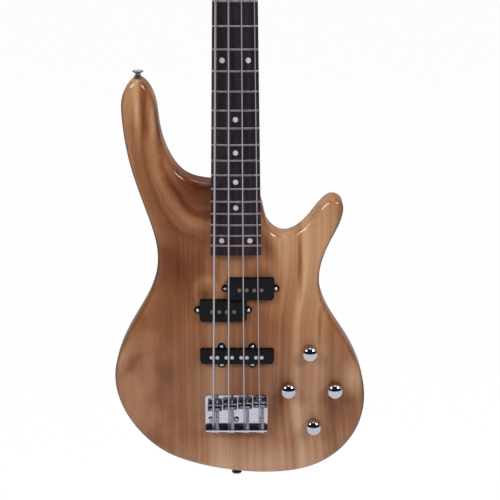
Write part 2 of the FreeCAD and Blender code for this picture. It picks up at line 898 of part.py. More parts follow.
def neck_section(name, z, depth):
    """A flat top and a back of one round arc, drawn in three stretches."""
    half = float(neck_half_width(z))
    radius = (half ** 2 + float(depth) ** 2) / (2 * float(depth))
    centre = Vector(0, glue_y + depth - radius, z)
    sweep = math.atan2(half, radius - float(depth))

    def back_point(share):
        return centre + Vector(radius * math.sin(share * sweep), radius * math.cos(share * sweep), 0)

    edges = [Part.LineSegment(back_point(1), back_point(-1)).toShape()]
    for first, middle, last in ((-1, -0.75, -0.5), (-0.5, 0, 0.5), (0.5, 0.75, 1)):
        edges.append(Part.Arc(back_point(first), back_point(middle), back_point(last)).toShape())
    return feature(name, Part.Wire(edges))


def loft(name, sections):
    result = doc.addObject("Part::Loft", name)
    result.Sections = sections
    result.Solid = True
    result.Ruled = True
    return result


volute_z = nut_z - s.volute_length
volute_share = s.volute_length / s.board_length
volute_depth = s.neck_depth_nut + (s.neck_depth_heel - s.neck_depth_nut) * volute_share
volute_section = neck_section("volute_section", volute_z, volute_depth)
heel_section = neck_section("heel_section", board_end_z, s.neck_depth_heel)
nut_half = s.nut_width / 2
head_depth = s.head_thickness / math.cos(math.radians(s.head_angle))
head_corners = [
    Vector(nut_half, glue_y, nut_top_z),
    Vector(-nut_half, glue_y, nut_top_z),
    Vector(-nut_half, glue_y + head_depth, nut_top_z),
    Vector(nut_half, glue_y + head_depth, nut_top_z),
]
head_section = feature("head_section", Part.makePolygon(head_corners + head_corners[:1]))
shaft = loft("neck_shaft", [heel_section, volute_section])
volute = loft("neck_volute", [volute_section, head_section])
heel_top = board_end_z + s.heel_length
ramp_top = heel_top + s.heel_ramp
heel_side = doc.addObject("Sketcher::SketchObject", "heel_side")
heel_side.Placement = Placement(Vector(), SIDE_VIEW)
shaft_back = glue_y + s.neck_depth_heel
draw_loop(
    heel_side,
    [(glue_y, board_end_z), (pocket_y, board_end_z), (pocket_y, heel_top),
     (shaft_back - s.board_lift, ramp_top), (glue_y, ramp_top)],
)
heel_block = extruded("heel_block", heel_side, Vector(1, 0, 0), s.neck_end_width * 2)
heel_block.Symmetric = True
heel_plan = slab(
    "heel_plan",
    [
        (-neck_half_width(board_end_z), board_end_z),
        (neck_half_width(board_end_z), board_end_z),
        (neck_half_width(ramp_top), ramp_top),
        (-neck_half_width(ramp_top), ramp_top),
    ],
    glue_y,
    s.pocket_depth + s.board_lift,
)
heel = common("heel", heel_block, heel_plan)
head_half = [
    (nut_half, 0),
    (nut_half + 0.16 * (s.head_shoulder - nut_half), 0.06 * s.head_length),
    (0.92 * s.head_shoulder, 0.165 * s.head_length),
    (s.head_shoulder, 0.26 * s.head_length),
    (0.55 * s.head_shoulder + 0.45 * s.head_crown, 0.6 * s.head_length),
    (s.head_crown, 0.86 * s.head_length),
    (0.62 * s.head_crown, 0.965 * s.head_length),
]
head_points = [*head_half, (0, s.head_length), *[(-x, z) for x, z in reversed(head_half)]]
head_edge = Part.BSplineCurve()
head_edge.interpolate([head_place.multVec(Vector(x, 0, z)) for x, z in head_points])
head_base = Part.LineSegment(head_edge.EndPoint, head_edge.StartPoint).toShape()
head_outline = feature("head_outline", Part.Wire([head_edge.toShape(), head_base]))
head_slab = extruded("head_slab", head_outline, head_back, s.head_thickness)
neck_blank = fuse("neck_blank", [shaft, volute, heel, head_slab])

truss_y = glue_y + s.truss_depth
truss_start = board_end_z + s.heel_length / 2
truss_run = nut_top_z - truss_start
truss_room = s.truss_nut_length * 2
truss_half = s.truss_radius + s.truss_gap
truss_slot = box(
    "truss_slot",
    (-truss_half, glue_y - s.board_thickness, truss_start - s.truss_gap),
    (2 * truss_half, s.board_thickness + s.truss_depth + truss_half, truss_run + truss_room),
)
nut_room = s.truss_nut_radius + s.truss_gap
truss_pocket = box(
    "truss_pocket",
    (-nut_room, glue_y, nut_top_z),
    (2 * nut_room, s.truss_depth + nut_room, truss_room),
)
TUNERS = {
    "e": (-s.tuner_low_x, s.tuner_low),
    "a": (-s.tuner_high_x, s.tuner_high),
    "d": (s.tuner_high_x, s.tuner_high),
    "g": (s.tuner_low_x, s.tuner_low),
}
tuner_holes = [
    on_head(rod(f"tuner_hole_{name}", (0, 0, 0), s.bush_radius, s.head_thickness), x, 0, z, TO_BACK)
    for name, (x, z) in TUNERS.items()
]
plate_y = float(s.head_thickness)
tuner_screw_spots = [
    (0, s.tuner_screw_top),
    (-s.tuner_screw_x, -s.tuner_screw_low),
    (s.tuner_screw_x, -s.tuner_screw_low),
]
tuner_pilots = [
    on_head(
        rod(
            f"tuner_pilot_{name}_{i}",
            (0, 0, 0),
            s.tuner_screw_radius,
            s.tuner_screw_length - s.tuner_plate_thickness,
        ),
        x + spot_x, plate_y, z + spot_z, TO_FRONT,
    )
    for name, (x, z) in TUNERS.items()
    for i, (spot_x, spot_z) in enumerate(tuner_screw_spots)
]
cover_mid = s.nut_thickness / 4 + s.cover_length / 2
cover_screw_spots = [
    (0, cover_mid + 0.4 * s.cover_length),
    (-0.34 * s.cover_width, cover_mid - 0.24 * s.cover_length),
    (0.34 * s.cover_width, cover_mid - 0.24 * s.cover_length),
]
cover_pilots = [
    on_head(
        rod(
            f"cover_pilot_{i}",
            (0, 0, 0),
            s.panel_screw_radius,
            s.panel_screw_length - s.cover_thickness,
        ),
        x, 0, z, TO_BACK,
    )
    for i, (x, z) in enumerate(cover_screw_spots)
]
neck_cuts = [truss_slot, truss_pocket, *tuner_holes, *tuner_pilots, *cover_pilots, *neck_holes]
node(cut("neck_cut", neck_blank, neck_cuts), "neck")

# Truss rod, laid in its slot under the fretboard, with a hex nut under a cover on the headstock
rod_bar = rod("truss_bar", (0, truss_y, truss_start), s.truss_radius, truss_run)
hex_nut = doc.addObject("Part::Prism", "truss_hex")
hex_nut.Polygon = 6
hex_nut.Circumradius = float(s.truss_nut_radius)
hex_nut.Height = float(s.truss_nut_length)
bind(hex_nut, "Circumradius", s.truss_nut_radius)
bind(hex_nut, "Height", s.truss_nut_length)
place(hex_nut, 0, truss_y, nut_top_z)
node(fuse("truss_fuse", [rod_bar, hex_nut]), "truss_rod")

cover_half = s.cover_width / 2
cover_plan = [
    (-0.5 * cover_half, cover_mid - s.cover_length / 2),
    (0.5 * cover_half, cover_mid - s.cover_length / 2),
    (cover_half, cover_mid - s.cover_length / 2 + cover_half),
    (0.62 * cover_half, cover_mid + s.cover_length / 2 - 0.62 * cover_half),
    (-0.62 * cover_half, cover_mid + s.cover_length / 2 - 0.62 * cover_half, 0.68 * cover_half),
    (-cover_half, cover_mid - s.cover_length / 2 + cover_half),
]
cover_sketch = doc.addObject("Sketcher::SketchObject", "cover_sketch")
draw_loop(cover_sketch, cover_plan)
on_head(cover_sketch, 0, -float(s.cover_thickness), 0, TO_FRONT)
cover_blank = extruded("cover_blank", cover_sketch, head_back, s.cover_thickness)
cover_holes = [
    on_head(
        rod(f"cover_hole_{i}", (0, 0, 0), s.panel_screw_radius, 2 * s.cover_thickness),
        x, 0, z, TO_FRONT,
    )
    for i, (x, z) in enumerate(cover_screw_spots)
]
node(cut("cover_cut", cover_blank, cover_holes), "truss_rod_cover")

# Fretboard: a tapered slip with a round top, 24 slots and inlaid dots
board_plan = slab(
    "board_plan",
    [
        (-neck_half_width(board_end_z), board_end_z),
        (neck_half_width(board_end_z), board_end_z),
        (neck_half_width(nut_z), nut_z),
        (-neck_half_width(nut_z), nut_z),
    ],
    board_y,
    s.board_thickness,
)
board_axis_y = board_y + s.board_radius
board_round = rod("board_round", (0, board_axis_y, board_end_z), s.board_radius, s.board_length)
board_blank = common("board_blank", board_plan, board_round)
fret_numbers = range(1, int(s.fret_count) + 1)
slot_half = s.tang_width / 2 + s.slot_gap
crown_drop = s.neck_end_width * s.neck_end_width / (8 * s.board_radius)
fret_slots = [
    box(
        f"fret_slot_{i}",
        (-s.neck_end_width, board_y - s.board_thickness, fret_z(i) - slot_half),
        (2 * s.neck_end_width, s.board_thickness + s.tang_depth + crown_drop, 2 * slot_half),
    )
    for i in fret_numbers
]


def between_frets(number):
    return (fret_z(number - 1) + fret_z(number)) / 2


dot_places = [(0, between_frets(i)) for i in FACE_DOTS]
for i in DOUBLE_DOTS:
    z = between_frets(i)
    spread = (string_x(3, z) + string_x(2, z)) / 2
    dot_places += [(-spread, z), (spread, z)]
dot_length = s.board_thickness + s.dot_depth + crown_drop
dots = [
    rod(f"dot_{i}", (x, board_y - s.board_thickness, z), s.dot_radius, dot_length, TO_BACK)
    for i, (x, z) in enumerate(dot_places)
]
side_places = [(0, i) for i in FACE_DOTS]
side_places += [(shift, i) for i in DOUBLE_DOTS for shift in (-1, 1)]
side_y = (glue_y + board_y + crown_drop) / 2
for i, (shift, number) in enumerate(side_places):
    z = between_frets(number) + shift * 2.5 * s.side_dot_radius
    reach = neck_half_width(z) - s.dot_depth
    dots.append(rod(f"side_dot_{i}", (-reach, side_y, z), s.side_dot_radius, s.dot_depth * 3, TO_BASS))
dot_tools = fuse("dot_tools", dots)
node(common("dot_common", board_blank, dot_tools), "fret_markers")
node(cut("board_cut", board_blank, [*fret_slots, dot_tools]), "fretboard")


def fret(number):
    """A round crown on the board with its tang in the slot, bent to the board's radius."""
    z = float(fret_z(number))
    top = float(s.board_radius)
    half, tang = float(s.fret_width) / 2, float(s.tang_width) / 2
    crown, low = top + float(s.fret_height), top - float(s.tang_depth)

    def spot(radius, along_neck):
        return Vector(0, board_axis_y - radius, z + along_neck)

    arc = Part.Arc(spot(top, -half), spot(crown, 0), spot(top, half)).toShape()
    foot = [
        spot(top, half), spot(top, tang), spot(low, tang), spot(low, -tang), spot(top, -tang),
        spot(top, -half),
    ]
    section = Part.Face(Part.Wire([arc, *Part.makePolygon(foot).Edges]))
    swing = math.degrees(math.asin(float(neck_half_width(fret_z(number))) / top))
    axis = Vector(0, board_axis_y, z)
    section.rotate(axis, Vector(0, 0, 1), -swing)
    return section.revolve(axis, Vector(0, 0, 1), 2 * swing)


group("frets", [fret(i) for i in fret_numbers])

# Nut, with a slot for each string
gauges = [s.string_1, s.string_2, s.string_3, s.string_4]
nut_y = board_y - s.nut_action
nut_block = box(
    "nut_block",
    (-nut_half, board_y - s.nut_crown, nut_z),
    (s.nut_width, s.nut_crown + s.board_thickness, s.nut_thickness),
)
nut_slots = []
for i, gauge in enumerate(gauges):
    radius = gauge / 2 + s.string_seat_gap
    centre_y = nut_y - gauge / 2
    x = string_x(i, nut_z)
    nut_slots.append(rod(f"nut_groove_{i}", (x, centre_y, nut_z), radius, s.nut_thickness))
    nut_slots.append(
        box(
            f"nut_slot_{i}",
            (x - radius, centre_y - s.nut_crown * 2, nut_z),
            (2 * radius, s.nut_crown * 2, s.nut_thickness),
        )
    )
node(cut("nut_cut", nut_block, nut_slots), "nut")

# Neck plate and its four screws, on the back of the body
plate_low = joint_z - s.neck_plate_length / 2
plate_box = box(
    "neck_plate_box",
    (-s.neck_plate_width / 2, back_y, plate_low),
    (s.neck_plate_width, s.neck_plate_thickness, s.neck_plate_length),
)
plate_holes = [
    rod(f"plate_hole_{i}", (x, back_y, z), s.neck_screw_radius, s.neck_plate_thickness, TO_BACK)
    for i, (x, z) in enumerate(neck_screw_places)
]
plate_rounded = rounded("neck_plate_rounded", plate_box, s.neck_plate_corner, upright_edge)
node(cut("neck_plate_cut", plate_rounded, plate_holes), "neck_plate")
neck_screw = screw(s.neck_screw_head, s.neck_screw_radius, s.neck_screw_length)
group(
    "neck_screws",
    [placed(neck_screw, x, back_y + s.neck_plate_thickness, z, TO_BACK) for x, z in neck_screw_places],
)

# Bridge: a plate with its tail end bent up as a wall, screwed to the face
wall_z = saddle_z - s.bridge_back
plate_top_y = face_y - s.plate_thickness
bridge_half = s.bridge_width / 2
bridge_base = box(
    "bridge_base",
    (-bridge_half, plate_top_y, wall_z),
    (s.bridge_width, s.plate_thickness, s.bridge_back + s.bridge_front),
)


def at_bridge_front(edge):
    return upright_edge(edge) and edge.CenterOfMass.z > saddle_z


bridge_flat = rounded("bridge_flat", bridge_base, s.plate_corner, at_bridge_front)
bridge_wall = box(
    "bridge_wall",
    (-bridge_half, face_y - s.wall_height, wall_z),
    (s.bridge_width, s.wall_height, s.wall_thickness),
)


def at_wall_top(edge):
    return along(Vector(0, 0, 1))(edge) and edge.CenterOfMass.y < plate_top_y


wall_rounded = rounded("bridge_wall_rounded", bridge_wall, s.plate_corner, at_wall_top)
barrel_y = board_y - s.saddle_action + s.barrel_radius - s.groove_depth + s.string_seat_gap
anchor_y = face_y - s.plate_thickness - s.ball_radius - s.string_seat_gap
bridge_cuts = [
    rod(f"bridge_plate_hole_{i}", (x, face_y, z), s.bridge_screw_radius, 2 * s.plate_thickness, TO_FRONT)
    for i, (x, z) in enumerate(bridge_screw_places)
]
for i, gauge in enumerate(gauges):
    x = string_x(i, saddle_z)
    string_hole = gauge / 2 + s.string_hole_gap
    bridge_cuts.append(rod(f"string_hole_{i}", (x, anchor_y, wall_z), string_hole, s.wall_thickness))
    screw_hole = s.intonation_radius + s.thread_gap
    screw_x = x + s.intonation_shift
    bridge_cuts.append(rod(f"wall_hole_{i}", (screw_x, barrel_y, wall_z), screw_hole, s.wall_thickness))
bridge_blank = fuse("bridge_blank", [bridge_flat, wall_rounded])
node(cut("bridge_cut", bridge_blank, bridge_cuts), "bridge_plate")
bridge_screw = screw(s.bridge_screw_head, s.bridge_screw_radius, s.bridge_screw_length)
group("bridge_screws", [placed(bridge_screw, x, plate_top_y, z, TO_FRONT) for x, z in bridge_screw_places])

# Saddles: grooved barrels on two height screws, drawn along by a sprung intonation screw
saddle_sets = [s.saddle_set_1, s.saddle_set_2, s.saddle_set_3, s.saddle_set_4]
spring_shapes = []
chamfer = s.groove_depth / 2
for i, (name, gauge, shift) in enumerate(zip(STRINGS, gauges, saddle_sets)):
    x, z = string_x(i, saddle_z), saddle_z + shift
    half, groove = s.barrel_length / 2, gauge / 2 + s.string_seat_gap
    low, deep = -s.barrel_shift, s.barrel_radius - s.groove_depth
    barrel = turned(
        f"barrel_{name}",
        [
            (0, -half), (s.barrel_radius - chamfer, -half), (s.barrel_radius, chamfer - half),
            (s.barrel_radius, low - groove - s.groove_depth), (deep, low - groove), (deep, low + groove),
            (s.barrel_radius, low + groove + s.groove_depth), (s.barrel_radius, half - chamfer),
            (s.barrel_radius - chamfer, half), (0, half),
        ],
    )
    middle = x + s.barrel_shift
    place(barrel, middle, barrel_y, z, TO_TREBLE)
    screw_x = x + s.intonation_shift
    tap = s.intonation_radius + s.thread_gap
    tools = [rod(f"barrel_tap_{name}", (screw_x, barrel_y, z - s.barrel_radius), tap, 2 * s.barrel_radius)]
    legs = []
    for side in (-1, 1):
        leg_x = middle + side * s.height_screw_x
        foot_y = plate_top_y - s.string_seat_gap
        leg_height = foot_y - barrel_y + s.barrel_radius / 2
        foot, hole_low = (leg_x, foot_y, z), (leg_x, barrel_y + s.barrel_radius, z)
        across = s.height_screw_radius
        legs.append(rod(f"height_screw_{name}_{side + 1}", foot, across, leg_height, TO_FRONT))
        tap_name = f"height_tap_{name}_{side + 1}"
        tools.append(rod(tap_name, hole_low, across, 2 * s.barrel_radius, TO_FRONT))
    saddle = doc.addObject("Part::Compound", f"saddle_set_{name}")
    saddle.Links = [cut(f"saddle_barrel_{name}", barrel, tools), *legs]
    node(saddle, f"saddle_{name}")

    head, top = s.intonation_head, -s.thread_gap - s.intonation_head_length
    intonation = turned(
        f"intonation_{name}",
        [
            (0, top), (head, top), (head, -s.thread_gap), (s.intonation_radius, -s.thread_gap),
            (s.intonation_radius, s.intonation_length), (0, s.intonation_length),
        ],
    )
    node(place(intonation, screw_x, barrel_y, wall_z), f"intonation_screw_{name}")

    reach = s.spring_wire + s.spring_end_gap
    first = float(wall_z + s.wall_thickness + reach)
    last = float(z - s.barrel_radius - reach)
    steps = 2 * int(s.spring_turns)
    rise = (last - first) / steps
    ring = float(s.spring_radius)
    points = [
        Vector(screw_x + ring * math.cos(k * math.pi), barrel_y, first + k * rise) for k in range(steps + 1)
    ]
    headings = [
        Vector(0, ring * math.pi * math.cos(k * math.pi), rise) for k in range(steps + 1)
    ]
    coil = wound(points, headings)
    spring_shapes.append(tube(coil, s.spring_wire))
    self_gap(f"saddle spring {name}", coil, s.spring_wire, 9)
group("saddle_springs", spring_shapes)

# Tuners: a plate with two lugs on the headstock's back, a bushed post with its wheel, and a worm
# shaft with its key
pitch = math.pi * s.wheel_module
wheel_root = s.wheel_module * (s.wheel_teeth / 2 - 0.8)
wheel_tip = s.wheel_module * (s.wheel_teeth / 2 + 0.75)
thread_ring = s.worm_root + 0.7 * s.worm_thread
worm_tip = thread_ring + s.worm_thread
worm_drop = wheel_tip + s.worm_root + s.worm_mesh_gap
wheel_y = s.head_thickness + s.tuner_plate_thickness + worm_tip + s.worm_clearance
lug_x = s.worm_length / 2 + s.worm_clearance


def tuner_plate():
    half, tail = float(s.tuner_plate_half), -float(s.tuner_plate_tail)
    thick, shoulder = float(s.tuner_plate_thickness), float(s.tuner_plate_shoulder)
    left, right, top = Vector(-half, 0, shoulder), Vector(half, 0, shoulder), Vector(0, 0, shoulder + half)
    left_low, right_low = Vector(-half, 0, tail), Vector(half, 0, tail)
    sides = Part.makePolygon([right, right_low, left_low, left]).Edges
    edges = [*sides, Part.Arc(left, top, right).toShape()]
    plate = Part.Face(Part.Wire(edges)).extrude(Vector(0, thick, 0))
    low_corners = [e for e in plate.Edges if upright_edge(e) and e.CenterOfMass.z < tail / 2]
    plate = plate.makeFillet(float(s.tuner_plate_corner), low_corners)
    reach = float(wheel_y - s.head_thickness + s.worm_shaft + s.lug_thickness)
    wide = float(s.worm_shaft + s.lug_thickness)
    for side in (-1, 1):
        inner = side * float(lug_x) - (float(s.lug_thickness) if side < 0 else 0)
        corner = Vector(inner, 0, -float(worm_drop) - wide)
        plate = plate.fuse(Part.makeBox(float(s.lug_thickness), reach, 2 * wide, corner))
    bore = float(s.worm_shaft + s.post_gap)
    start = Vector(-float(lug_x) * 2, float(wheel_y - s.head_thickness), -float(worm_drop))
    holes = [
        Part.makeCylinder(bore, 4 * float(lug_x), start, Vector(1, 0, 0)),
        Part.makeCylinder(float(s.post_tail + s.post_gap), thick, Vector(), Vector(0, 1, 0)),
    ]
    for x, z in tuner_screw_spots:
        holes.append(Part.makeCylinder(float(s.tuner_screw_radius), thick, Vector(x, 0, z), Vector(0, 1, 0)))
    return plate.cut(holes).removeSplitter()


def wheel():
    """A spur wheel with flat-flanked teeth, one of them pointing down at the worm."""
    count = int(s.wheel_teeth)
    step = 2 * math.pi / count
    corners = []
    for k in range(count):
        for share, radius in ((-0.2, wheel_root), (-0.09, wheel_tip), (0.09, wheel_tip), (0.2, wheel_root)):
            angle = step * (k + share) - math.pi / 2
            corners.append(Vector(radius * math.cos(angle), 0, radius * math.sin(angle)))
    start = Vector(0, wheel_y - s.wheel_thickness / 2, 0)
    face = Part.Face(Part.makePolygon(corners + corners[:1]))
    face.translate(start)
    return face.extrude(Vector(0, float(s.wheel_thickness), 0))


def post():
    """The post's front is at -Y. Its top is slotted for the string's end."""
    rise, low = float(s.post_rise), -float(wheel_y + s.wheel_thickness / 2)
    neck, wide, tail = float(s.post_waist), float(s.post_radius), float(s.post_tail)
    step, bevel = float(s.post_step), float(s.post_bevel)
    inner = step / 2 - float(s.head_thickness)
    waist_low = float(s.bush_flange_thickness) + step
    waist_high = rise - float(s.post_cap)
    turned_post = lathe(
        [
            (0, low), (tail, low), (tail, inner), (wide, inner), (wide, waist_low),
            (neck, waist_low + step), (neck, waist_high - step), (wide, waist_high), (wide, rise - bevel),
            (wide - bevel, rise), (0, rise),
        ]
    )
    turned_post.rotate(Vector(), Vector(1, 0, 0), 90)
    slot = float(s.post_slot)
    groove = Part.makeBox(slot, float(s.post_slot_depth), 4 * wide, Vector(-slot / 2, -rise, -2 * wide))
    return turned_post.fuse(wheel()).cut(groove).removeSplitter()


def worm_key():
    """The worm runs along X under the wheel, with the key on its -X end."""
    shaft_ring, root, half = float(s.worm_shaft), float(s.worm_root), float(s.worm_length) / 2
    start, far = -float(s.key_start), float(lug_x + s.lug_thickness)
    core = lathe(
        [
            (0, start), (shaft_ring, start), (shaft_ring, -half), (root, -half), (root, half),
            (shaft_ring, half), (shaft_ring, far), (0, far),
        ]
    )
    core.rotate(Vector(), Vector(0, 1, 0), 90)
    ring, step = float(thread_ring), float(pitch) / 4
    quarters = int(4 * s.worm_turns)
    arc = ring * math.pi / 2
    points, headings = [], []
    for k in range(quarters + 1):
        angle = k * math.pi / 2
        points.append(Vector((k - quarters / 2) * step, ring * math.cos(angle), ring * math.sin(angle)))
        headings.append(Vector(step, -arc * math.sin(angle), arc * math.cos(angle)))
    thread = wound(points, headings)
    self_gap("worm thread", thread, s.worm_thread, NEXT_TURN)
    worm = core.fuse(tube(thread, s.worm_thread))
    long_half, wide_half, thick = float(s.key_length) / 2, float(s.key_width) / 2, float(s.key_thickness)
    middle = Vector(-float(s.key_start) - long_half, -thick / 2, 0)
    rim = Part.Ellipse(middle, long_half, wide_half)
    rim.Axis = Vector(0, -1, 0)
    paddle = Part.Face(Part.Wire([rim.toShape()])).extrude(Vector(0, thick, 0))
    paddle = paddle.makeFillet(float(s.key_edge_radius), [e for e in paddle.Edges if lies_flat(e)])
    stem = Part.makeCone(
        float(s.key_stem_radius), thick / 2, float(s.key_stem_length),
        Vector(start + float(s.key_stem_lap), 0, 0), Vector(-1, 0, 0),
    )
    return worm.fuse([paddle, stem]).removeSplitter()


plate_shape, post_shape, key_shape = tuner_plate(), post(), worm_key()
flipped_post = post_shape.mirror(Vector(), Vector(1, 0, 0))
flipped_key = key_shape.mirror(Vector(), Vector(1, 0, 0))
bush_bore = s.post_radius + s.post_gap
bush_shape = lathe(
    [
        (bush_bore, -s.bush_length), (s.bush_radius, -s.bush_length), (s.bush_radius, 0),
        (s.bush_flange, 0), (s.bush_flange, s.bush_flange_thickness / 2),
        (s.bush_radius, s.bush_flange_thickness), (bush_bore, s.bush_flange_thickness),
    ]
)
tuner_screw = screw(s.tuner_screw_head, s.tuner_screw_radius, s.tuner_screw_length)


def head_copy(shape, x, y, z, turn=UPWARD):
    copy = shape.copy()
    copy.Placement = head_place.multiply(Placement(Vector(x, y, z), turn))
    return copy


group("tuner_plates", [head_copy(plate_shape, x, plate_y, z) for x, z in TUNERS.values()])
group("tuner_bushings", [head_copy(bush_shape, x, 0, z, TO_FRONT) for x, z in TUNERS.values()])
group(
    "tuner_screws",
    [
        head_copy(tuner_screw, x + spot_x, plate_y + s.tuner_plate_thickness, z + spot_z, TO_BACK)
        for x, z in TUNERS.values()
        for spot_x, spot_z in tuner_screw_spots
    ],
)
for name, (x, z) in TUNERS.items():
    bass_side = x < 0
    tuner_post = feature(f"post_{name}", post_shape if bass_side else flipped_post)
    node(on_head(tuner_post, x, 0, z), f"tuner_post_{name}")
    tuner_key = feature(f"key_{name}", key_shape if bass_side else flipped_key)
    node(on_head(tuner_key, x, float(wheel_y), z - worm_drop), f"tuner_key_{name}")
    print("tuner", name, "post", [round(v, 4) for v in tuner_post.Placement.Base],
          "key", [round(v, 4) for v in tuner_key.Placement.Base])
print("post axis", [round(v, 6) for v in head_back])

# Strings, from the ball end behind the wall over the saddle and the nut to the turns on the post
winding_turns = [s.winding_turns_low] * 2 + [s.winding_turns_high] * 2
for i, (name, gauge, shift) in enumerate(zip(STRINGS, gauges, saddle_sets)):
    radius = gauge / 2
    x_saddle, x_nut = string_x(i, saddle_z), string_x(i, nut_top_z)
    ball = Part.makeCylinder(
        float(s.ball_radius), float(s.ball_length),
        Vector(x_saddle - s.ball_length / 2, anchor_y, wall_z - s.ball_radius), Vector(1, 0, 0),
    )
    rest_ring = s.barrel_radius - s.groove_depth + s.string_seat_gap + radius
    start = Vector(x_saddle, anchor_y, wall_z)
    nut_rest = Vector(x_nut, nut_y - radius, nut_top_z)
    crest = over_ring(start, Vector(x_saddle, barrel_y, saddle_z + shift), nut_rest, rest_ring)

    post_x, post_z = TUNERS[name]
    side = 1 if post_x < 0 else -1
    ring = float(s.post_waist + s.winding_gap + radius)
    local = head_place.inverse().multVec(nut_rest)
    away = Vector(side * (post_x - local.x), post_z - local.z, 0)
    heading = math.atan2(away.y, away.x) - math.asin(ring / away.Length)
    first_angle = heading - math.pi / 2
    step = float(gauge + s.winding_step) / 4
    points, headings = [], []
    for k in range(4 * round(winding_turns[i]) + 1):
        angle = first_angle + k * math.pi / 2
        points.append(
            Vector(
                post_x + side * ring * math.cos(angle),
                -float(s.winding_start) - k * step,
                post_z + ring * math.sin(angle),
            )
        )
        quarter = ring * math.pi / 2
        headings.append(Vector(-side * quarter * math.sin(angle), -step, quarter * math.cos(angle)))
    points = [head_place.multVec(p) for p in points]
    headings = [head_place.Rotation.multVec(h) for h in headings]
    run = rounded_path([start, crest, nut_rest, points[0]], [rest_ring, 3 * s.nut_thickness])
    headings[0] = points[0] - nut_rest
    turns = wound(points, headings)
    tail_end = points[-1] + headings[-1].normalize() * float(gauge)
    path = [*run, *turns, Part.LineSegment(points[-1], tail_end).toShape()]
    group(f"string_{name}", [ball, tube(path, radius)])
    self_gap(f"string {name} on its post", turns, radius, NEXT_TURN)


# Pickups: hollow covers with screw ears, bobbins on foam and the pole pieces that run through them
def compound(label, parts):
    joined = doc.addObject("Part::Compound", label)
    joined.Links = parts
    return node(joined, label)


covers, bobbins, poles_made, foams, pickup_screws = {}, [], [], [], []
cavity_floor = face_y + s.pickup_cavity
cover_front = face_y - s.pickup_rise
pickup_screw = screw(s.pickup_screw_head, s.pickup_screw_radius, s.pickup_screw_length)


def at_cover_front(edge):
    return lies_flat(edge) and edge.CenterOfMass.y < face_y - 1


for name, x, z, length, width, ears, poles in PICKUPS:
    shell = pickup_block(name + "_shell", x, z, length, width, cover_front, s.pickup_depth, s.cover_corner)
    soft_shell = rounded(name + "_soft", shell, s.cover_wall, at_cover_front)
    tabs = pickup_ears(name + "_tab", x, z, ears, s.ear_radius, face_y - s.ear_rise, s.ear_thickness)
    walls = 2 * s.cover_wall
    inner = (length - walls, width - walls)
    inside = pickup_block(
        name + "_inside", x, z, *inner, cover_front + s.cover_wall, s.pickup_depth, s.cover_wall
    )
    holes = pickup_ears(name + "_tab_hole", x, z, ears, s.pickup_screw_radius, cover_front, s.pickup_depth)
    pole_holes = pickup_ears(name + "_pole_hole", x, z, poles, s.pole_radius, cover_front, s.pickup_depth)
    shell_parts = fuse(name + "_parts", [soft_shell, *tabs])
    covers[name] = cut(name + "_cover", shell_parts, [inside, *holes, *pole_holes])

    bobbin_y = cover_front + s.cover_wall
    bobbin_depth = cavity_floor - s.foam_height - bobbin_y
    bobbin = pickup_block(
        name + "_bobbin_block", x, z, inner[0] - s.pickup_gap, inner[1] - s.pickup_gap, bobbin_y,
        bobbin_depth, s.cover_wall,
    )
    pole_depth = bobbin_depth + s.cover_wall + s.pole_rise
    pole_y = cover_front - s.pole_rise
    bores = pickup_ears(name + "_bore", x, z, poles, s.pole_radius, bobbin_y, bobbin_depth)
    bobbins.append(cut(name + "_bobbin", bobbin, bores))
    poles_made += pickup_ears(name + "_pole", x, z, poles, s.pole_radius, pole_y, pole_depth)
    foams.append(
        box(
            name + "_foam",
            (x - 0.3 * length, cavity_floor - s.foam_height, z - 0.3 * width),
            (0.6 * length, s.foam_height, 0.6 * width),
        )
    )
    for ear_x, ear_z in ears:
        pickup_screws.append(placed(pickup_screw, x + ear_x, face_y - s.ear_rise, z + ear_z, TO_FRONT))
compound("split_pickup_covers", [covers["split_treble"], covers["split_bass"]])
node(covers["long"], "bridge_pickup_cover")
compound("pickup_bobbins", bobbins)
compound("pickup_poles", poles_made)
compound("pickup_foams", foams)
group("pickup_screws", pickup_screws)

# Controls: a potentiometer under the face, its nut on the face, and a dome knob on its shaft
knob_y = face_y - s.knob_gap
shaft_low = s.pot_height - s.panel_thickness
bore = s.shaft_radius + s.bushing_gap
crown_radius = (s.knob_radius * s.knob_radius + s.knob_crown * s.knob_crown) / (2 * s.knob_crown)
pots = []


def at_knob_edge(edge):
    return edge.Length > 6 * s.knob_radius and edge.CenterOfMass.y < knob_y - s.knob_crown


for name, (x, z) in zip(KNOBS, control_places):
    top = s.control_wall + s.bushing_rise
    pot = turned(
        f"pot_{name}",
        [
            (bore, top), (bore, -shaft_low), (0, -shaft_low), (0, -s.pot_height),
            (s.pot_radius, -s.pot_height), (s.pot_radius, 0), (s.bushing_radius, 0), (s.bushing_radius, top),
        ],
    )
    pots.append(place(pot, x, cavity_y, z, TO_FRONT))
    shaft_start = cavity_y + shaft_low - s.bushing_gap
    shaft_length = shaft_start - face_y + s.shaft_rise
    pot_shaft = rod(f"shaft_{name}", (x, shaft_start, z), s.shaft_radius, shaft_length, TO_FRONT)
    node(pot_shaft, f"pot_shaft_{name}")
    hollow = s.bushing_rise + s.bushing_gap
    inside = s.knob_radius - s.knob_wall
    socket = s.shaft_rise - s.knob_gap
    knob = turned(
        f"dome_{name}",
        [
            (s.shaft_radius, hollow), (inside, hollow), (inside, 0), (s.knob_radius, 0),
            (s.knob_radius, s.knob_height - s.knob_crown), (0, s.knob_height, crown_radius), (0, socket),
            (s.shaft_radius, socket),
        ],
    )
    place(knob, x, knob_y, z, TO_FRONT)
    node(rounded(f"dome_edge_{name}", knob, s.knob_edge, at_knob_edge), f"knob_{name}")
compound("potentiometers", pots)
hexagon = [
    Vector(s.panel_nut_radius * math.cos(k * math.pi / 3), s.panel_nut_radius * math.sin(k * math.pi / 3), 0)
    for k in range(6)
]
nut_height = float(s.panel_nut_height)
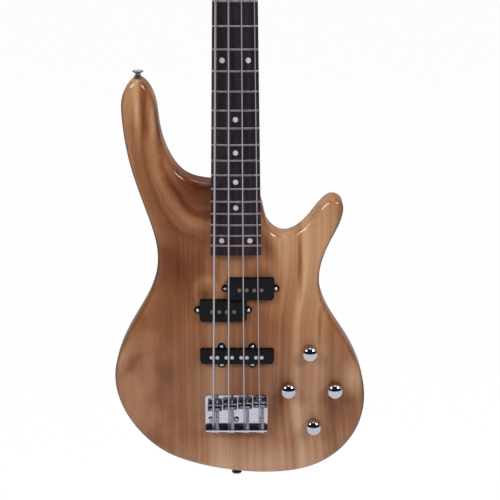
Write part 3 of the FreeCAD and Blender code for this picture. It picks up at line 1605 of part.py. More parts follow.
panel_nut = Part.Face(Part.makePolygon(hexagon + hexagon[:1])).extrude(Vector(0, 0, nut_height))
panel_nut = panel_nut.cut(Part.makeCylinder(float(s.bushing_radius), nut_height))
group("panel_nuts", [placed(panel_nut, x, face_y, z, TO_FRONT) for x, z in control_places])

panel = extruded(
    "panel_blank",
    ellipse("panel_rim", (control_x, panel_y, control_z), panel_half_x, panel_half_z),
    Vector(0, 1, 0),
    s.panel_thickness,
)
panel_screw_holes = [
    rod(f"panel_screw_hole_{i}", (x, panel_y, z), s.panel_screw_radius, s.panel_thickness, TO_BACK)
    for i, (x, z) in enumerate(panel_screw_places)
]
node(cut("panel_cut", panel, panel_screw_holes), "control_cover")
panel_screw = screw(s.panel_screw_head, s.panel_screw_radius, s.panel_screw_length)
group(
    "cover_screws",
    [placed(panel_screw, x, back_y, z, TO_BACK) for x, z in panel_screw_places]
    + [head_copy(panel_screw, x, -s.cover_thickness, z, TO_FRONT) for x, z in cover_screw_spots],
)

# Output jack: a flanged barrel with its bore open outwards
jack = turned(
    "jack_barrel",
    [
        (s.jack_bore, s.jack_flange_thickness), (s.jack_bore, -s.jack_bore_length), (0, -s.jack_bore_length),
        (0, -s.jack_length), (s.jack_radius, -s.jack_length), (s.jack_radius, 0), (s.jack_flange, 0),
        (s.jack_flange, s.jack_flange_thickness / 2),
        (s.jack_flange - s.jack_flange_thickness / 2, s.jack_flange_thickness),
    ],
)
jack.Placement = jack_place
node(jack, "output_jack")

# Strap buttons on felt washers, each held by one long screw
buttons, felts, strap_screws = [], [], []
screw_bore = s.strap_screw_radius + s.bushing_gap
sink = s.strap_screw_head - s.strap_screw_radius
strap_screw = screw(s.strap_screw_head, s.strap_screw_radius, s.strap_screw_length, countersunk=True)
felt = lathe(
    [
        (screw_bore, 0), (s.felt_radius, 0), (s.felt_radius, s.felt_thickness), (screw_bore, s.felt_thickness)
    ]
)
for name, (x, z, turn, way) in {
    "tail": (0, tail_z, DOWNWARD, -1),
    "horn": (horn_x, horn_z, UPWARD, 1),
}.items():
    seat = z + way * s.felt_thickness
    button = turned(
        f"button_{name}",
        [
            (screw_bore, 0), (s.button_foot, 0), (s.button_foot, 0.12 * s.button_height),
            (s.button_waist, 0.36 * s.button_height), (s.button_waist, 0.6 * s.button_height),
            (s.button_head, 0.83 * s.button_height), (s.button_head, s.button_height),
            (s.strap_screw_head + s.bushing_gap, s.button_height), (screw_bore, s.button_height - sink),
        ],
    )
    buttons.append(place(button, x, 0, seat, turn))
    felts.append(placed(felt, x, 0, z, turn))
    strap_screws.append(placed(strap_screw, x, 0, z + way * tail_z, turn))
compound("strap_buttons", buttons)
group("strap_felts", felts)
group("strap_screws", strap_screws)

# Wiring: leads from the pickups through the channels, between the potentiometers and to the jack
pot_back = cavity_y + s.pot_height + s.lead_radius
upper, inner, outer, lower = [Vector(x, pot_back, z) for x, z in control_places]
lead_lift = Vector(0, 3 * s.lead_radius, 0)
jack_inner = jack_place.multVec(Vector(0, 0, -float(s.jack_length)))
long_bobbin_z = long_z - s.lead_radius - s.string_seat_gap
split_lead_z = long_z + s.lead_radius + s.string_seat_gap
foam_pass_z = long_z + s.long_width / 2 - s.lead_radius
split_low_z = split_z - s.split_step / 2
channel_in = s.long_length / 2
cavity_chord = math.sqrt(1 - ((long_z - control_z) / s.cavity_half_z) ** 2)
channel_out = control_x - s.cavity_half_x * cavity_chord + s.lead_radius
jack_lead_bend = (jack_inner + lower) / 2 + 2 * lead_lift
leads = [
    [
        Vector(0.35 * s.long_length, channel_y, long_bobbin_z),
        Vector(channel_out, channel_y, long_bobbin_z),
        inner + lead_lift + Vector(0, 0, s.pot_radius),
        inner,
    ],
    [
        Vector(0, channel_y, split_low_z - 0.38 * s.split_width),
        Vector(0, channel_y, foam_pass_z),
        Vector(channel_in - s.pot_radius, channel_y, foam_pass_z),
        Vector(channel_in, channel_y, split_lead_z),
        Vector(channel_out, channel_y, split_lead_z),
        upper + lead_lift - Vector(s.pot_radius, 0, 0),
        upper,
    ],
    [jack_inner - jack_axis * float(s.lead_radius), jack_lead_bend, lower + lead_lift * 2, lower],
    [inner, inner + lead_lift * 2, outer + lead_lift * 2, outer],
]
lead_bend = 3 * s.lead_radius
lead_shapes = [tube(rounded_path(points, [lead_bend] * (len(points) - 2)), s.lead_radius) for points in leads]
group("wiring", lead_shapes)

# Every object has to be sound before anything is written
doc.recompute()
for thing in doc.Objects:
    if "Invalid" in thing.State or "Error" in thing.State:
        raise RuntimeError(f"{thing.Name} failed to build")
for piece in nodes:
    if piece.Shape.isNull() or not piece.Shape.isValid() or not piece.Shape.Solids:
        raise RuntimeError(f"{piece.Label} has no sound solid")
os.makedirs("parts", exist_ok=True)
for piece in nodes:
    piece.Shape.exportStep(f"parts/{piece.Label}.step")
print(len(nodes), "pieces written")
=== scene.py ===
import math

import bmesh
import bpy
from mathutils import Matrix, Vector


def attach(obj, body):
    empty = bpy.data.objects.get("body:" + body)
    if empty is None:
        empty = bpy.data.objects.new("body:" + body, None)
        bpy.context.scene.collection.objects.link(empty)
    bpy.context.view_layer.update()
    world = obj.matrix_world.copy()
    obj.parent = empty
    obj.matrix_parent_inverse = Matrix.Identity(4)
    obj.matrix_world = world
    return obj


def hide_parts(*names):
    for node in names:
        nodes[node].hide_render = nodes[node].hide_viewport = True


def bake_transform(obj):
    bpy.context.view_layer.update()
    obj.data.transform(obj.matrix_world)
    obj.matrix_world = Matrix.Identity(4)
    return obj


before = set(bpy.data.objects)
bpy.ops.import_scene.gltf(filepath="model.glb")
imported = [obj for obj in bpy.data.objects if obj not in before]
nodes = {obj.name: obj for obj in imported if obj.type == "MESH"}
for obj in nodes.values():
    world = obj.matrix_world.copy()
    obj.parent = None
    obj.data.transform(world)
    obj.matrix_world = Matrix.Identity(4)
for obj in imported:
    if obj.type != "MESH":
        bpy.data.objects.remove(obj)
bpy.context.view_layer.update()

scene = bpy.context.scene
scene.view_settings.view_transform = "Standard"


# Studio: a pale floor well below the hung instrument, in a room that is pale behind and dim above
# the camera. Two soft boxes stand left and right of the camera, where the round knobs show them; one
# hangs overhead and one behind lights the back.
def linear(code):
    shares = [int(code[i:i + 2], 16) / 255 for i in (1, 3, 5)]
    return (*[c / 12.92 if c <= 0.04045 else ((c + 0.055) / 1.055) ** 2.4 for c in shares], 1.0)


def add(tree, kind, inputs=None, stops=None, **settings):
    made = tree.nodes.get(kind) or tree.nodes.new(kind)
    for key, value in settings.items():
        setattr(made, key, value)
    for key, value in (inputs or {}).items():
        if isinstance(value, bpy.types.NodeSocket):
            tree.links.new(value, made.inputs[key])
        else:
            made.inputs[key].default_value = value
    if stops:
        marks = made.color_ramp.elements
        while len(marks) < len(stops):
            marks.new(0.5)
        for mark, (at, tone) in zip(marks, stops):
            mark.position = at
            mark.color = linear(tone) if isinstance(tone, str) else (tone, tone, tone, 1.0)
    return made


def into_object(bm, name, material):
    mesh = bpy.data.meshes.new(name)
    bm.to_mesh(mesh)
    bm.free()
    mesh.materials.append(material)
    made = bpy.data.objects.new(name, mesh)
    scene.collection.objects.link(made)
    return made


def aimed(name, data, place, aim):
    made = bpy.data.objects.new(name, data)
    made.location = place
    made.rotation_euler = (Vector(aim) - Vector(place)).to_track_quat("-Z", "Y").to_euler()
    scene.collection.objects.link(made)
    return made


floor_level = -0.5
floor_reach, floor_front = 40.0, 7.0
floor_white = linear("#f4f4f4")
shown_white = 0.97
paper = bpy.data.materials.new("white_paper_floor")
paper.use_nodes = True
tree = paper.node_tree
path = add(tree, "ShaderNodeLightPath").outputs
seen = add(tree, "ShaderNodeMath", {0: path["Is Camera Ray"], 1: path["Is Glossy Ray"]}, operation="ADD")
seen = add(tree, "ShaderNodeMath", {0: seen.outputs[0], 1: path["Is Transmission Ray"]}, operation="ADD")
share = add(tree, "ShaderNodeMath", {0: seen.outputs[0], 1: shown_white},
            operation="MULTIPLY", use_clamp=True)
lit = add(tree, "ShaderNodeBsdfDiffuse", {"Color": floor_white})
glow = add(tree, "ShaderNodeEmission", {"Color": (1, 1, 1, 1), "Strength": 1.0})
both = add(tree, "ShaderNodeMixShader", {0: share.outputs[0], 1: lit.outputs[0], 2: glow.outputs[0]})
add(tree, "Material Output", {"Surface": both.outputs[0]})
bm = bmesh.new()
bmesh.ops.create_grid(bm, x_segments=1, y_segments=1, size=floor_reach,
                      matrix=Matrix.Translation((0, floor_reach - floor_front, floor_level)))
into_object(bm, "studio_floor", paper)

room = bpy.data.worlds.new("studio_room")
room.use_nodes = True
scene.world = room
tree = room.node_tree
way = add(tree, "ShaderNodeSeparateXYZ", {0: add(tree, "ShaderNodeTexCoord").outputs["Generated"]}).outputs
path = add(tree, "ShaderNodeLightPath").outputs
above = add(tree, "ShaderNodeMapRange", {"Value": way["Z"], "From Min": -0.12, "From Max": -0.04})
ahead = add(tree, "ShaderNodeMapRange", {"Value": way["Y"], "From Min": 0.15, "From Max": -0.2})
unseen = add(tree, "ShaderNodeMath", {0: 1.0, 1: path["Is Camera Ray"]}, operation="SUBTRACT")
dim = add(tree, "ShaderNodeMath", {0: above.outputs[0], 1: ahead.outputs[0]}, operation="MULTIPLY")
dim = add(tree, "ShaderNodeMath", {0: dim.outputs[0], 1: unseen.outputs[0]}, operation="MULTIPLY")
tone = add(tree, "ShaderNodeValToRGB", {"Fac": dim.outputs[0]}, stops=[(0.0, "#fdfdfd"), (1.0, "#22242a")])
lighting = 0.5
strength = add(tree, "ShaderNodeMapRange", {
    "Value": path["Is Diffuse Ray"], "To Min": 1.0, "To Max": lighting})
add(tree, "Background", {"Color": tone.outputs[0], "Strength": strength.outputs[0]})

body_middle = (0.0, 0.0, 0.32)
for name, place, size, power in (
    ("left_soft_box", (-1.75, -1.5, 1.75), 0.8, 40.0),
    ("right_soft_box", (1.6, -1.6, 1.75), 0.8, 37.0),
    ("top_soft_box", (0.0, -0.2, 2.6), 0.9, 22.0),
    ("back_soft_box", (0.6, 1.5, 2.7), 1.0, 44.0),
):
    lamp = bpy.data.lights.new(name, "AREA")
    lamp.shape = "SQUARE"
    lamp.size = size
    lamp.energy = power
    aimed(name, lamp, place, body_middle)

lens = bpy.data.cameras.new("photo_camera")
lens.sensor_width = 36.0
lens.lens = 94.73
lens.clip_end = 200.0
stood, looked_at = (0.0174, -1.5624, 0.8298), (0.0174, -0.032, 0.3201)
scene.camera = aimed("photo_camera", lens, stood, looked_at)


def surface(name):
    made = bpy.data.materials.new(name)
    made.use_nodes = True
    return made, made.node_tree, add(made.node_tree, "ShaderNodeTexCoord").outputs["Object"]


def dress(material, *names):
    for name in names:
        nodes[name].material_slots[0].material = material


wood, tree, place = surface("gloss_lacquered_hardwood")
in_mm = add(tree, "ShaderNodeVectorMath", {0: place, "Scale": 1000.0}, operation="SCALE").outputs[0]
wander_width, wander_length, wander_reach = 45.0, 200.0, 4.5
wide = add(tree, "ShaderNodeMapping", {
    "Vector": in_mm, "Scale": (1 / wander_width, 1 / wander_width, 1 / wander_length)})
wander = add(tree, "ShaderNodeTexNoise", {"Vector": wide.outputs[0], "Scale": 1.0, "Detail": 2.0})
centred = add(tree, "ShaderNodeVectorMath", {0: wander.outputs["Color"], 1: (0.5, 0.5, 0.5)},
              operation="SUBTRACT")
bent = add(tree, "ShaderNodeVectorMath", {
    0: centred.outputs[0], 1: (wander_reach,) * 3, 2: in_mm}, operation="MULTIPLY_ADD").outputs[0]
across = add(tree, "ShaderNodeSeparateXYZ", {0: bent}).outputs


def tone_at(value, marks):
    low, high = marks[0][0], marks[-1][0]
    part = add(tree, "ShaderNodeMapRange", {"Value": value, "From Min": low, "From Max": high})
    stops = [((at - low) / (high - low), tone) for at, tone in marks]
    return add(tree, "ShaderNodeValToRGB", {"Fac": part.outputs[0]}, stops=stops).outputs[0]


def streaked(tone, grain, sizes):
    for width, length, change in sizes:
        fibres = add(tree, "ShaderNodeMapping", {
            "Vector": grain, "Scale": (1 / width, 1 / width, 1 / length)})
        streak = add(tree, "ShaderNodeTexNoise", {"Vector": fibres.outputs[0], "Scale": 1.0, "Detail": 3.0})
        apart = add(tree, "ShaderNodeMath", {0: streak.outputs[0], 1: 0.5}, operation="SUBTRACT")
        tone = add(tree, "ShaderNodeMath", {0: apart.outputs[0], 1: change, 2: tone},
                   operation="MULTIPLY_ADD").outputs[0]
    return tone


# Straight grain: stripes as (place across the board in mm, tone), which lean out on the treble side
# above and below the waist
upper = add(tree, "ShaderNodeMapRange", {
    "Value": across["Z"], "From Min": 205, "From Max": 300, "To Max": 10}, interpolation_type="SMOOTHSTEP")
lower = add(tree, "ShaderNodeMapRange", {
    "Value": across["Z"], "From Min": 15, "From Max": 125, "To Min": 9, "To Max": 0},
    interpolation_type="SMOOTHSTEP")
lean = add(tree, "ShaderNodeMath", {0: upper.outputs[0], 1: lower.outputs[0]}, operation="ADD")
treble = add(tree, "ShaderNodeMapRange", {"Value": across["X"], "From Min": 20, "From Max": 70})
lean = add(tree, "ShaderNodeMath", {0: lean.outputs[0], 1: treble.outputs[0]}, operation="MULTIPLY")
upright = add(tree, "ShaderNodeMath", {0: across["X"], 1: lean.outputs[0]}, operation="SUBTRACT").outputs[0]
straight = tone_at(upright, [
    (-155, 0.44), (-105, 0.42), (-82, 0.39), (-45, 0.40), (-24, 0.47), (-12, 0.46), (7, 0.37),
    (30, 0.40), (55, 0.43), (64, 0.40), (67, 0.40), (71, 0.48), (76, 0.56), (84, 0.49), (92, 0.49),
    (99, 0.53), (106, 0.49), (118, 0.43), (155, 0.42)])
grain = add(tree, "ShaderNodeCombineXYZ", {0: upright, 1: across["Y"], 2: across["Z"]}).outputs[0]
streaks = streaked(straight, grain, ((8.0, 450.0, 0.13), (3.0, 350.0, 0.12), (1.2, 90.0, 0.07)))
# Towards the bass edge the streaks give way to soft clouds
calm = add(tree, "ShaderNodeMapRange", {
    "Value": across["X"], "From Min": -45, "From Max": -95, "To Max": 0.7}).outputs[0]
straight = add(tree, "ShaderNodeMix", {0: calm, 2: streaks, 3: straight}).outputs[0]
cloud_width, cloud_length, cloud_change = 26, 40, 0.35
clouds = add(tree, "ShaderNodeMapping", {
    "Vector": bent, "Scale": (1 / cloud_width, 1 / cloud_width, 1 / cloud_length)})
cloud = add(tree, "ShaderNodeTexNoise", {"Vector": clouds.outputs[0], "Scale": 1.0, "Detail": 3.0})
apart = add(tree, "ShaderNodeMath", {0: cloud.outputs[0], 1: 0.5}, operation="SUBTRACT")
apart = add(tree, "ShaderNodeMath", {0: apart.outputs[0], 1: calm}, operation="MULTIPLY")
straight = add(tree, "ShaderNodeMath", {0: apart.outputs[0], 1: cloud_change, 2: straight},
               operation="MULTIPLY_ADD").outputs[0]
# Flame: by the bass horn the cut crosses the grain, and the year rings show as long arcs, each as
# (radius in mm, tone), that run straight through the slab
ring_centre, ring_squeeze, through = (-32, 0, 460), 0.6, 1e6
curl_size, curl_reach = 22, 16.0
ringed = add(tree, "ShaderNodeMapping", {
    "Vector": bent, "Location": ring_centre, "Scale": (ring_squeeze, through, 1.0)}, vector_type="TEXTURE")
radius = add(tree, "ShaderNodeVectorMath", {0: ringed.outputs[0]}, operation="LENGTH").outputs["Value"]
curl = add(tree, "ShaderNodeTexNoise", {"Vector": in_mm, "Scale": 1 / curl_size, "Detail": 3.0}).outputs[0]
radius = add(tree, "ShaderNodeMath", {0: curl, 1: curl_reach, 2: radius}, operation="MULTIPLY_ADD").outputs[0]
flame = tone_at(radius, [
    (50, 0.32), (88, 0.35), (101, 0.38), (105, 0.29), (109, 0.30), (116, 0.43), (122, 0.47), (132, 0.41),
    (142, 0.34), (156, 0.38), (178, 0.48)])
grain = add(tree, "ShaderNodeCombineXYZ", {0: radius, 1: across["Y"], 2: across["Z"]}).outputs[0]
flame = streaked(flame, grain, ((5.0, 80.0, 0.12), (2.0, 40.0, 0.13)))
above = add(tree, "ShaderNodeMapRange", {"Value": across["Z"], "From Min": 318, "From Max": 345})
bass = add(tree, "ShaderNodeMapRange", {"Value": across["X"], "From Min": -20, "From Max": -30})
flamed = add(tree, "ShaderNodeMath", {0: above.outputs[0], 1: bass.outputs[0]}, operation="MULTIPLY")
tone = add(tree, "ShaderNodeMix", {0: flamed.outputs[0], 2: straight, 3: flame}).outputs[0]
# Figure: heartwood, a knot by the split pickup, pale and dark patches and single dark lines, each as
# (x, z, half width and half height in mm, lean in degrees, change of tone)
for x, z, half_width, half_height, turn, change in (
    (-20, 5, 150, 60, 0, 0.14), (42, 22, 80, 58, 0, 0.11), (-72, 288, 72, 80, 0, -0.12),
    (68, 325, 66, 115, 0, 0.15), (-48, 392, 60, 36, 12, -0.13), (-90, 460, 14, 66, 10, 0.12),
    (41, 316, 12, 28, 25, -0.17), (116, 362, 22, 40, -10, -0.01), (128, 104, 26, 42, 0, -0.11),
    (-95, 150, 18, 45, 8, -0.07), (-34, 110, 32, 80, 0, 0.09), (57, 112, 14, 50, 0, -0.12),
    (46, 215, 18, 40, 0, -0.05), (-4, 275, 20, 36, 0, 0.14), (150, 145, 18, 34, 0, 0.19),
    (110, 165, 14, 40, 0, 0.05), (-38, 262, 19, 25, 0, 0.26), (-37, 259, 14, 18, 0, -0.34),
    (105, 215, 3, 34, 0, -0.12), (80, 300, 5, 60, 0, -0.22), (-118, 490, 6, 60, 2, 0.20),
    (-109, 495, 6, 55, 2, -0.10), (-118, 520, 22, 50, 0, 0.10), (-143, 174, 9, 34, -38, 0.08),
    (-134, 160, 8, 34, -38, -0.08), (38, 272, 26, 34, 0, -0.12), (74, 92, 24, 44, 0, 0.09),
    (-140, 110, 26, 60, 0, 0.05),
):
    patch = add(tree, "ShaderNodeMapping", {
        "Vector": bent, "Location": (x, 0, z), "Rotation": (0.0, math.radians(-turn), 0.0),
        "Scale": (half_width, through, half_height)}, vector_type="TEXTURE")
    spread = add(tree, "ShaderNodeTexGradient", {0: patch.outputs[0]}, gradient_type="SPHERICAL")
    tone = add(tree, "ShaderNodeMath", {0: spread.outputs[1], 1: change, 2: tone},
               operation="MULTIPLY_ADD").outputs[0]
brown = add(tree, "ShaderNodeValToRGB", {"Fac": tone}, stops=[
    (0.1, "#341203"), (0.2, "#4f1f08"), (0.3, "#6a3c21"), (0.4, "#8a5839"), (0.5, "#a37450"),
    (0.62, "#be9672")])
rose = add(tree, "ShaderNodeValToRGB", {"Fac": tone}, stops=[
    (0.1, "#3a1c10"), (0.28, "#5d3827"), (0.4, "#865940"), (0.5, "#a07558"), (0.62, "#ba957a")])
low = add(tree, "ShaderNodeMapRange", {"Value": across["Z"], "From Min": 215, "From Max": 165})
colour = add(tree, "ShaderNodeMix", {0: low.outputs[0], 6: brown.outputs[0], 7: rose.outputs[0]},
             data_type="RGBA")
# Painted shade: the colour is darkened on the rounded edges and side walls, most where they face down;
# the walls that face up are painted lighter, as if they caught the light
facing = add(tree, "ShaderNodeSeparateXYZ", {0: add(tree, "ShaderNodeTexCoord").outputs["Normal"]}).outputs
flat = add(tree, "ShaderNodeMath", {0: facing["Y"]}, operation="ABSOLUTE").outputs[0]
painted_edge_shade_limit = add(tree, "ShaderNodeMapRange", {
    "Value": facing["Z"], "From Min": 0.1, "From Max": 0.4, "To Min": 0.3, "To Max": 0.68})
# Painted shade: the colour fades darker towards the silhouette, down to the limit set just above
shade = add(tree, "ShaderNodeMapRange", {
    "Value": flat, "From Min": 0.5, "From Max": 0.93, "To Min": painted_edge_shade_limit.outputs[0]})
gloss = tone_at(flat, [(0.3, 0.2), (0.55, 0.25), (0.75, 0.75), (0.88, 0.75), (0.98, 0.3)])
colour = add(tree, "ShaderNodeVectorMath", {0: colour.outputs[2], "Scale": shade.outputs[0]},
             operation="SCALE")
# Sprayed lacquer dries with a faint ripple, about a centimetre across
ripple_size = 0.012
ripple = add(tree, "ShaderNodeTexNoise", {"Vector": place, "Scale": 1 / ripple_size, "Detail": 1.0})
peel = add(tree, "ShaderNodeBump", {"Height": ripple.outputs[0], "Strength": 0.02, "Distance": 0.001})
add(tree, "Principled BSDF", {
    "Base Color": colour.outputs[0], "Roughness": 0.5, "Specular IOR Level": 0.0, "Coat Weight": gloss,
    "Coat Roughness": 0.04, "Coat Normal": peel.outputs[0]})
dress(wood, "body")


# Neck: quarter-sawn maple, planed round behind and rubbed with satin lacquer, in one piece with
# its heel and its headstock, which leans back. Four screws through the body hold it, and fine pale
# streaks show under its soft sheen.
maple, tree, place = surface("satin_maple")
streak_width, streak_length = 0.004, 0.25
fibres = add(tree, "ShaderNodeMapping", {
    "Vector": place, "Scale": (1 / streak_width, 1 / streak_width, 1 / streak_length)})
streak = add(tree, "ShaderNodeTexNoise", {"Vector": fibres.outputs[0], "Scale": 1.0, "Detail": 4.0})
shade = add(tree, "ShaderNodeValToRGB", {"Fac": streak.outputs[0]}, stops=[
    (0.25, "#a9794a"), (0.45, "#c1935d"), (0.6, "#cda26d"), (0.8, "#d9b480")])
fleck_width, fleck_length = 0.0012, 0.012
flecks = add(tree, "ShaderNodeMapping", {
    "Vector": place, "Scale": (1 / fleck_width, 1 / fleck_width, 1 / fleck_length)})
fleck = add(tree, "ShaderNodeTexNoise", {"Vector": flecks.outputs[0], "Scale": 1.0, "Detail": 2.0})
matt = add(tree, "ShaderNodeMapRange", {"Value": fleck.outputs[0], "To Min": 0.28, "To Max": 0.42})
pores = add(tree, "ShaderNodeBump", {"Height": fleck.outputs[0], "Strength": 0.05, "Distance": 0.0005})
add(tree, "Principled BSDF", {
    "Base Color": shade.outputs[0], "Roughness": matt.outputs[0], "Normal": pores.outputs[0],
    "Coat Weight": 0.25, "Coat Roughness": 0.25})
dress(maple, "neck")


# Truss rod: a drawn steel rod with a hex nut, let into the neck under the fretboard. Drawing leaves
# fine lines along it and a grey, half-dull shine.
steel, tree, place = surface("drawn_steel")
# The real lines are a tenth as wide; they are drawn this coarse so that they show
line_width, line_length = 0.0006, 0.02
lines = add(tree, "ShaderNodeMapping", {
    "Vector": place, "Scale": (1 / line_width, 1 / line_width, 1 / line_length)})
drawn = add(tree, "ShaderNodeTexNoise", {"Vector": lines.outputs[0], "Scale": 1.0, "Detail": 3.0})
dull = add(tree, "ShaderNodeMapRange", {"Value": drawn.outputs[0], "To Min": 0.22, "To Max": 0.45})
tint = add(tree, "ShaderNodeValToRGB", {"Fac": drawn.outputs[0]}, stops=[(0.3, "#8f8f92"), (0.7, "#b5b5b8")])
add(tree, "Principled BSDF", {"Base Color": tint.outputs[0], "Metallic": 1.0, "Roughness": dull.outputs[0]})
dress(steel, "truss_rod")


# Fretboard: a slip of dark rosewood, planed to a wide radius, slotted for the frets and oiled. It
# is nearly black, with fine open pores along the grain and a purple cast.
rosewood, tree, place = surface("oiled_rosewood")
band_width, band_length = 0.006, 0.18
bands = add(tree, "ShaderNodeMapping", {
    "Vector": place, "Scale": (1 / band_width, 1 / band_width, 1 / band_length)})
band = add(tree, "ShaderNodeTexNoise", {"Vector": bands.outputs[0], "Scale": 1.0, "Detail": 4.0})
shade = add(tree, "ShaderNodeValToRGB", {"Fac": band.outputs[0]}, stops=[
    (0.3, "#1d151c"), (0.5, "#281e27"), (0.7, "#372a34")])
# The real pores are a third as wide; they are drawn this coarse so that they show
pit_width, pit_length = 0.0008, 0.009
pits = add(tree, "ShaderNodeMapping", {
    "Vector": place, "Scale": (1 / pit_width, 1 / pit_width, 1 / pit_length)})
pit = add(tree, "ShaderNodeTexNoise", {"Vector": pits.outputs[0], "Scale": 1.0, "Detail": 2.0})
open_pore = add(tree, "ShaderNodeMapRange", {"Value": pit.outputs[0], "From Min": 0.35, "From Max": 0.45})
dark = add(tree, "ShaderNodeMix", {0: open_pore.outputs[0], 6: linear("#110b0e"), 7: shade.outputs[0]},
           data_type="RGBA")
matt = add(tree, "ShaderNodeMapRange", {"Value": open_pore.outputs[0], "To Min": 0.65, "To Max": 0.42})
grain = add(tree, "ShaderNodeBump", {"Height": open_pore.outputs[0], "Strength": 0.15, "Distance": 0.0003})
add(tree, "Principled BSDF", {
    "Base Color": dark.outputs[2], "Roughness": matt.outputs[0], "Normal": grain.outputs[0],
    "Specular IOR Level": 0.12})
dress(rosewood, "fretboard")


# Fret markers: dots of pearl plastic, glued into drilled seats and sanded flush with the board. The
# pearl shows as pale clouds under a shine.
pearl, tree, place = surface("pearl_plastic")
cloud_size = 0.0025
cloud = add(tree, "ShaderNodeTexNoise", {
    "Vector": place, "Scale": 1 / cloud_size, "Detail": 3.0, "Distortion": 1.5})
shade = add(tree, "ShaderNodeValToRGB", {"Fac": cloud.outputs[0]}, stops=[
    (0.3, "#a6a1ae"), (0.5, "#bdbac4"), (0.7, "#cfced4")])
add(tree, "Principled BSDF", {"Base Color": shade.outputs[0], "Roughness": 0.22, "Coat Weight": 0.3})
dress(pearl, "fret_markers")


# Frets: drawn nickel silver wire with a round crown, pressed into the slots, levelled and polished.
# It has a warm grey shine, a little dulled by use.
nickel, tree, place = surface("polished_nickel_silver")
rub_size = 0.004
rub = add(tree, "ShaderNodeTexNoise", {"Vector": place, "Scale": 1 / rub_size, "Detail": 3.0})
dull = add(tree, "ShaderNodeMapRange", {"Value": rub.outputs[0], "To Min": 0.3, "To Max": 0.45})
tint = add(tree, "ShaderNodeValToRGB", {"Fac": rub.outputs[0]}, stops=[(0.3, "#81777a"), (0.7, "#998f92")])
add(tree, "Principled BSDF", {"Base Color": tint.outputs[0], "Metallic": 1.0, "Roughness": dull.outputs[0]})
dress(nickel, "frets")


# Nut: a strip of off-white synthetic bone, slotted for the strings and glued across the board's end.
# It is smooth, and lets a little light in.
bone, tree, place = surface("synthetic_bone")
cloud_size = 0.003
cloud = add(tree, "ShaderNodeTexNoise", {"Vector": place, "Scale": 1 / cloud_size, "Detail": 3.0})
shade = add(tree, "ShaderNodeValToRGB", {"Fac": cloud.outputs[0]}, stops=[(0.3, "#d8d2c0"), (0.7, "#e6e2d5")])
matt = add(tree, "ShaderNodeMapRange", {"Value": cloud.outputs[0], "To Min": 0.3, "To Max": 0.45})
add(tree, "Principled BSDF", {
    "Base Color": shade.outputs[0], "Roughness": matt.outputs[0], "Subsurface Weight": 0.1,
    "Subsurface Radius": (0.002, 0.0018, 0.0014)})
dress(bone, "nut")


# Covers: the truss rod cover on the headstock and the control cover behind the body, both moulded
# in satin black ABS with a fine leathery grain, each held by small screws.
abs_black, tree, place = surface("satin_black_abs")
mottle_size = 0.015
mottle = add(tree, "ShaderNodeTexNoise", {"Vector": place, "Scale": 1 / mottle_size, "Detail": 3.0})
shade = add(tree, "ShaderNodeValToRGB", {"Fac": mottle.outputs[0]}, stops=[
    (0.3, "#0c0d11"), (0.7, "#131419")])
# The moulded grain is a third of a millimetre; it is drawn twice as coarse so that it shows
grain_size = 0.0007
moulded = add(tree, "ShaderNodeTexNoise", {"Vector": place, "Scale": 1 / grain_size, "Detail": 2.0})
satin = add(tree, "ShaderNodeMapRange", {"Value": mottle.outputs[0], "To Min": 0.3, "To Max": 0.42})
leathery = add(tree, "ShaderNodeBump", {"Height": moulded.outputs[0], "Strength": 0.12, "Distance": 0.0002})
add(tree, "Principled BSDF", {
    "Base Color": shade.outputs[0], "Roughness": satin.outputs[0], "Normal": leathery.outputs[0],
    "Specular IOR Level": 0.12})
dress(abs_black, "truss_rod_cover", "control_cover")


# Neck plate: a square of steel with rounded corners, pressed and chromed, which spreads the load of
# the neck screws. Its bright plate has a faint haze where hands and cloths have rubbed it.
chrome, tree, place = surface("chrome_plate")
haze_size = 0.02
haze = add(tree, "ShaderNodeTexNoise", {"Vector": place, "Scale": 1 / haze_size, "Detail": 4.0})
rubbed = add(tree, "ShaderNodeMapRange", {
    "Value": haze.outputs[0], "From Min": 0.35, "From Max": 0.75, "To Min": 0.03, "To Max": 0.14})
tint = add(tree, "ShaderNodeValToRGB", {"Fac": haze.outputs[0]}, stops=[(0.3, "#b2b1bc"), (0.7, "#c3c2cc")])
add(tree, "Principled BSDF", {"Base Color": tint.outputs[0], "Metallic": 1.0, "Roughness": rubbed.outputs[0]})
dress(chrome, "neck_plate")


# Neck screws, cover screws: chromed wood screws with a raised head and a cross recess, each driven
# to its own stop, so that no two crosses point the same way.
def merged_copy(node):
    bm = bmesh.new()
    bm.from_mesh(nodes[node].data)
    normals = bm.loops.layers.float_vector.get("custom_normal")
    if normals:
        bm.loops.layers.float_vector.remove(normals)
    bmesh.ops.remove_doubles(bm, verts=bm.verts, dist=2e-6)
    return bm


def islands(bm):
    reached = set()
    for first in bm.verts:
        if first in reached:
            continue
        found = [first]
        reached.add(first)
        for vert in found:
            near = [e.other_vert(vert) for e in vert.link_edges]
            found += [v for v in near if v not in reached]
            reached.update(near)
        yield found


def smooth(piece, angle):
    mesh = piece.data
    for name in ("custom_normal", "sharp_edge", "sharp_face"):
        if name in mesh.attributes:
            mesh.attributes.remove(mesh.attributes[name])
    mesh.shade_smooth()
    mesh.set_sharp_from_angle(angle=math.radians(angle))
    return piece


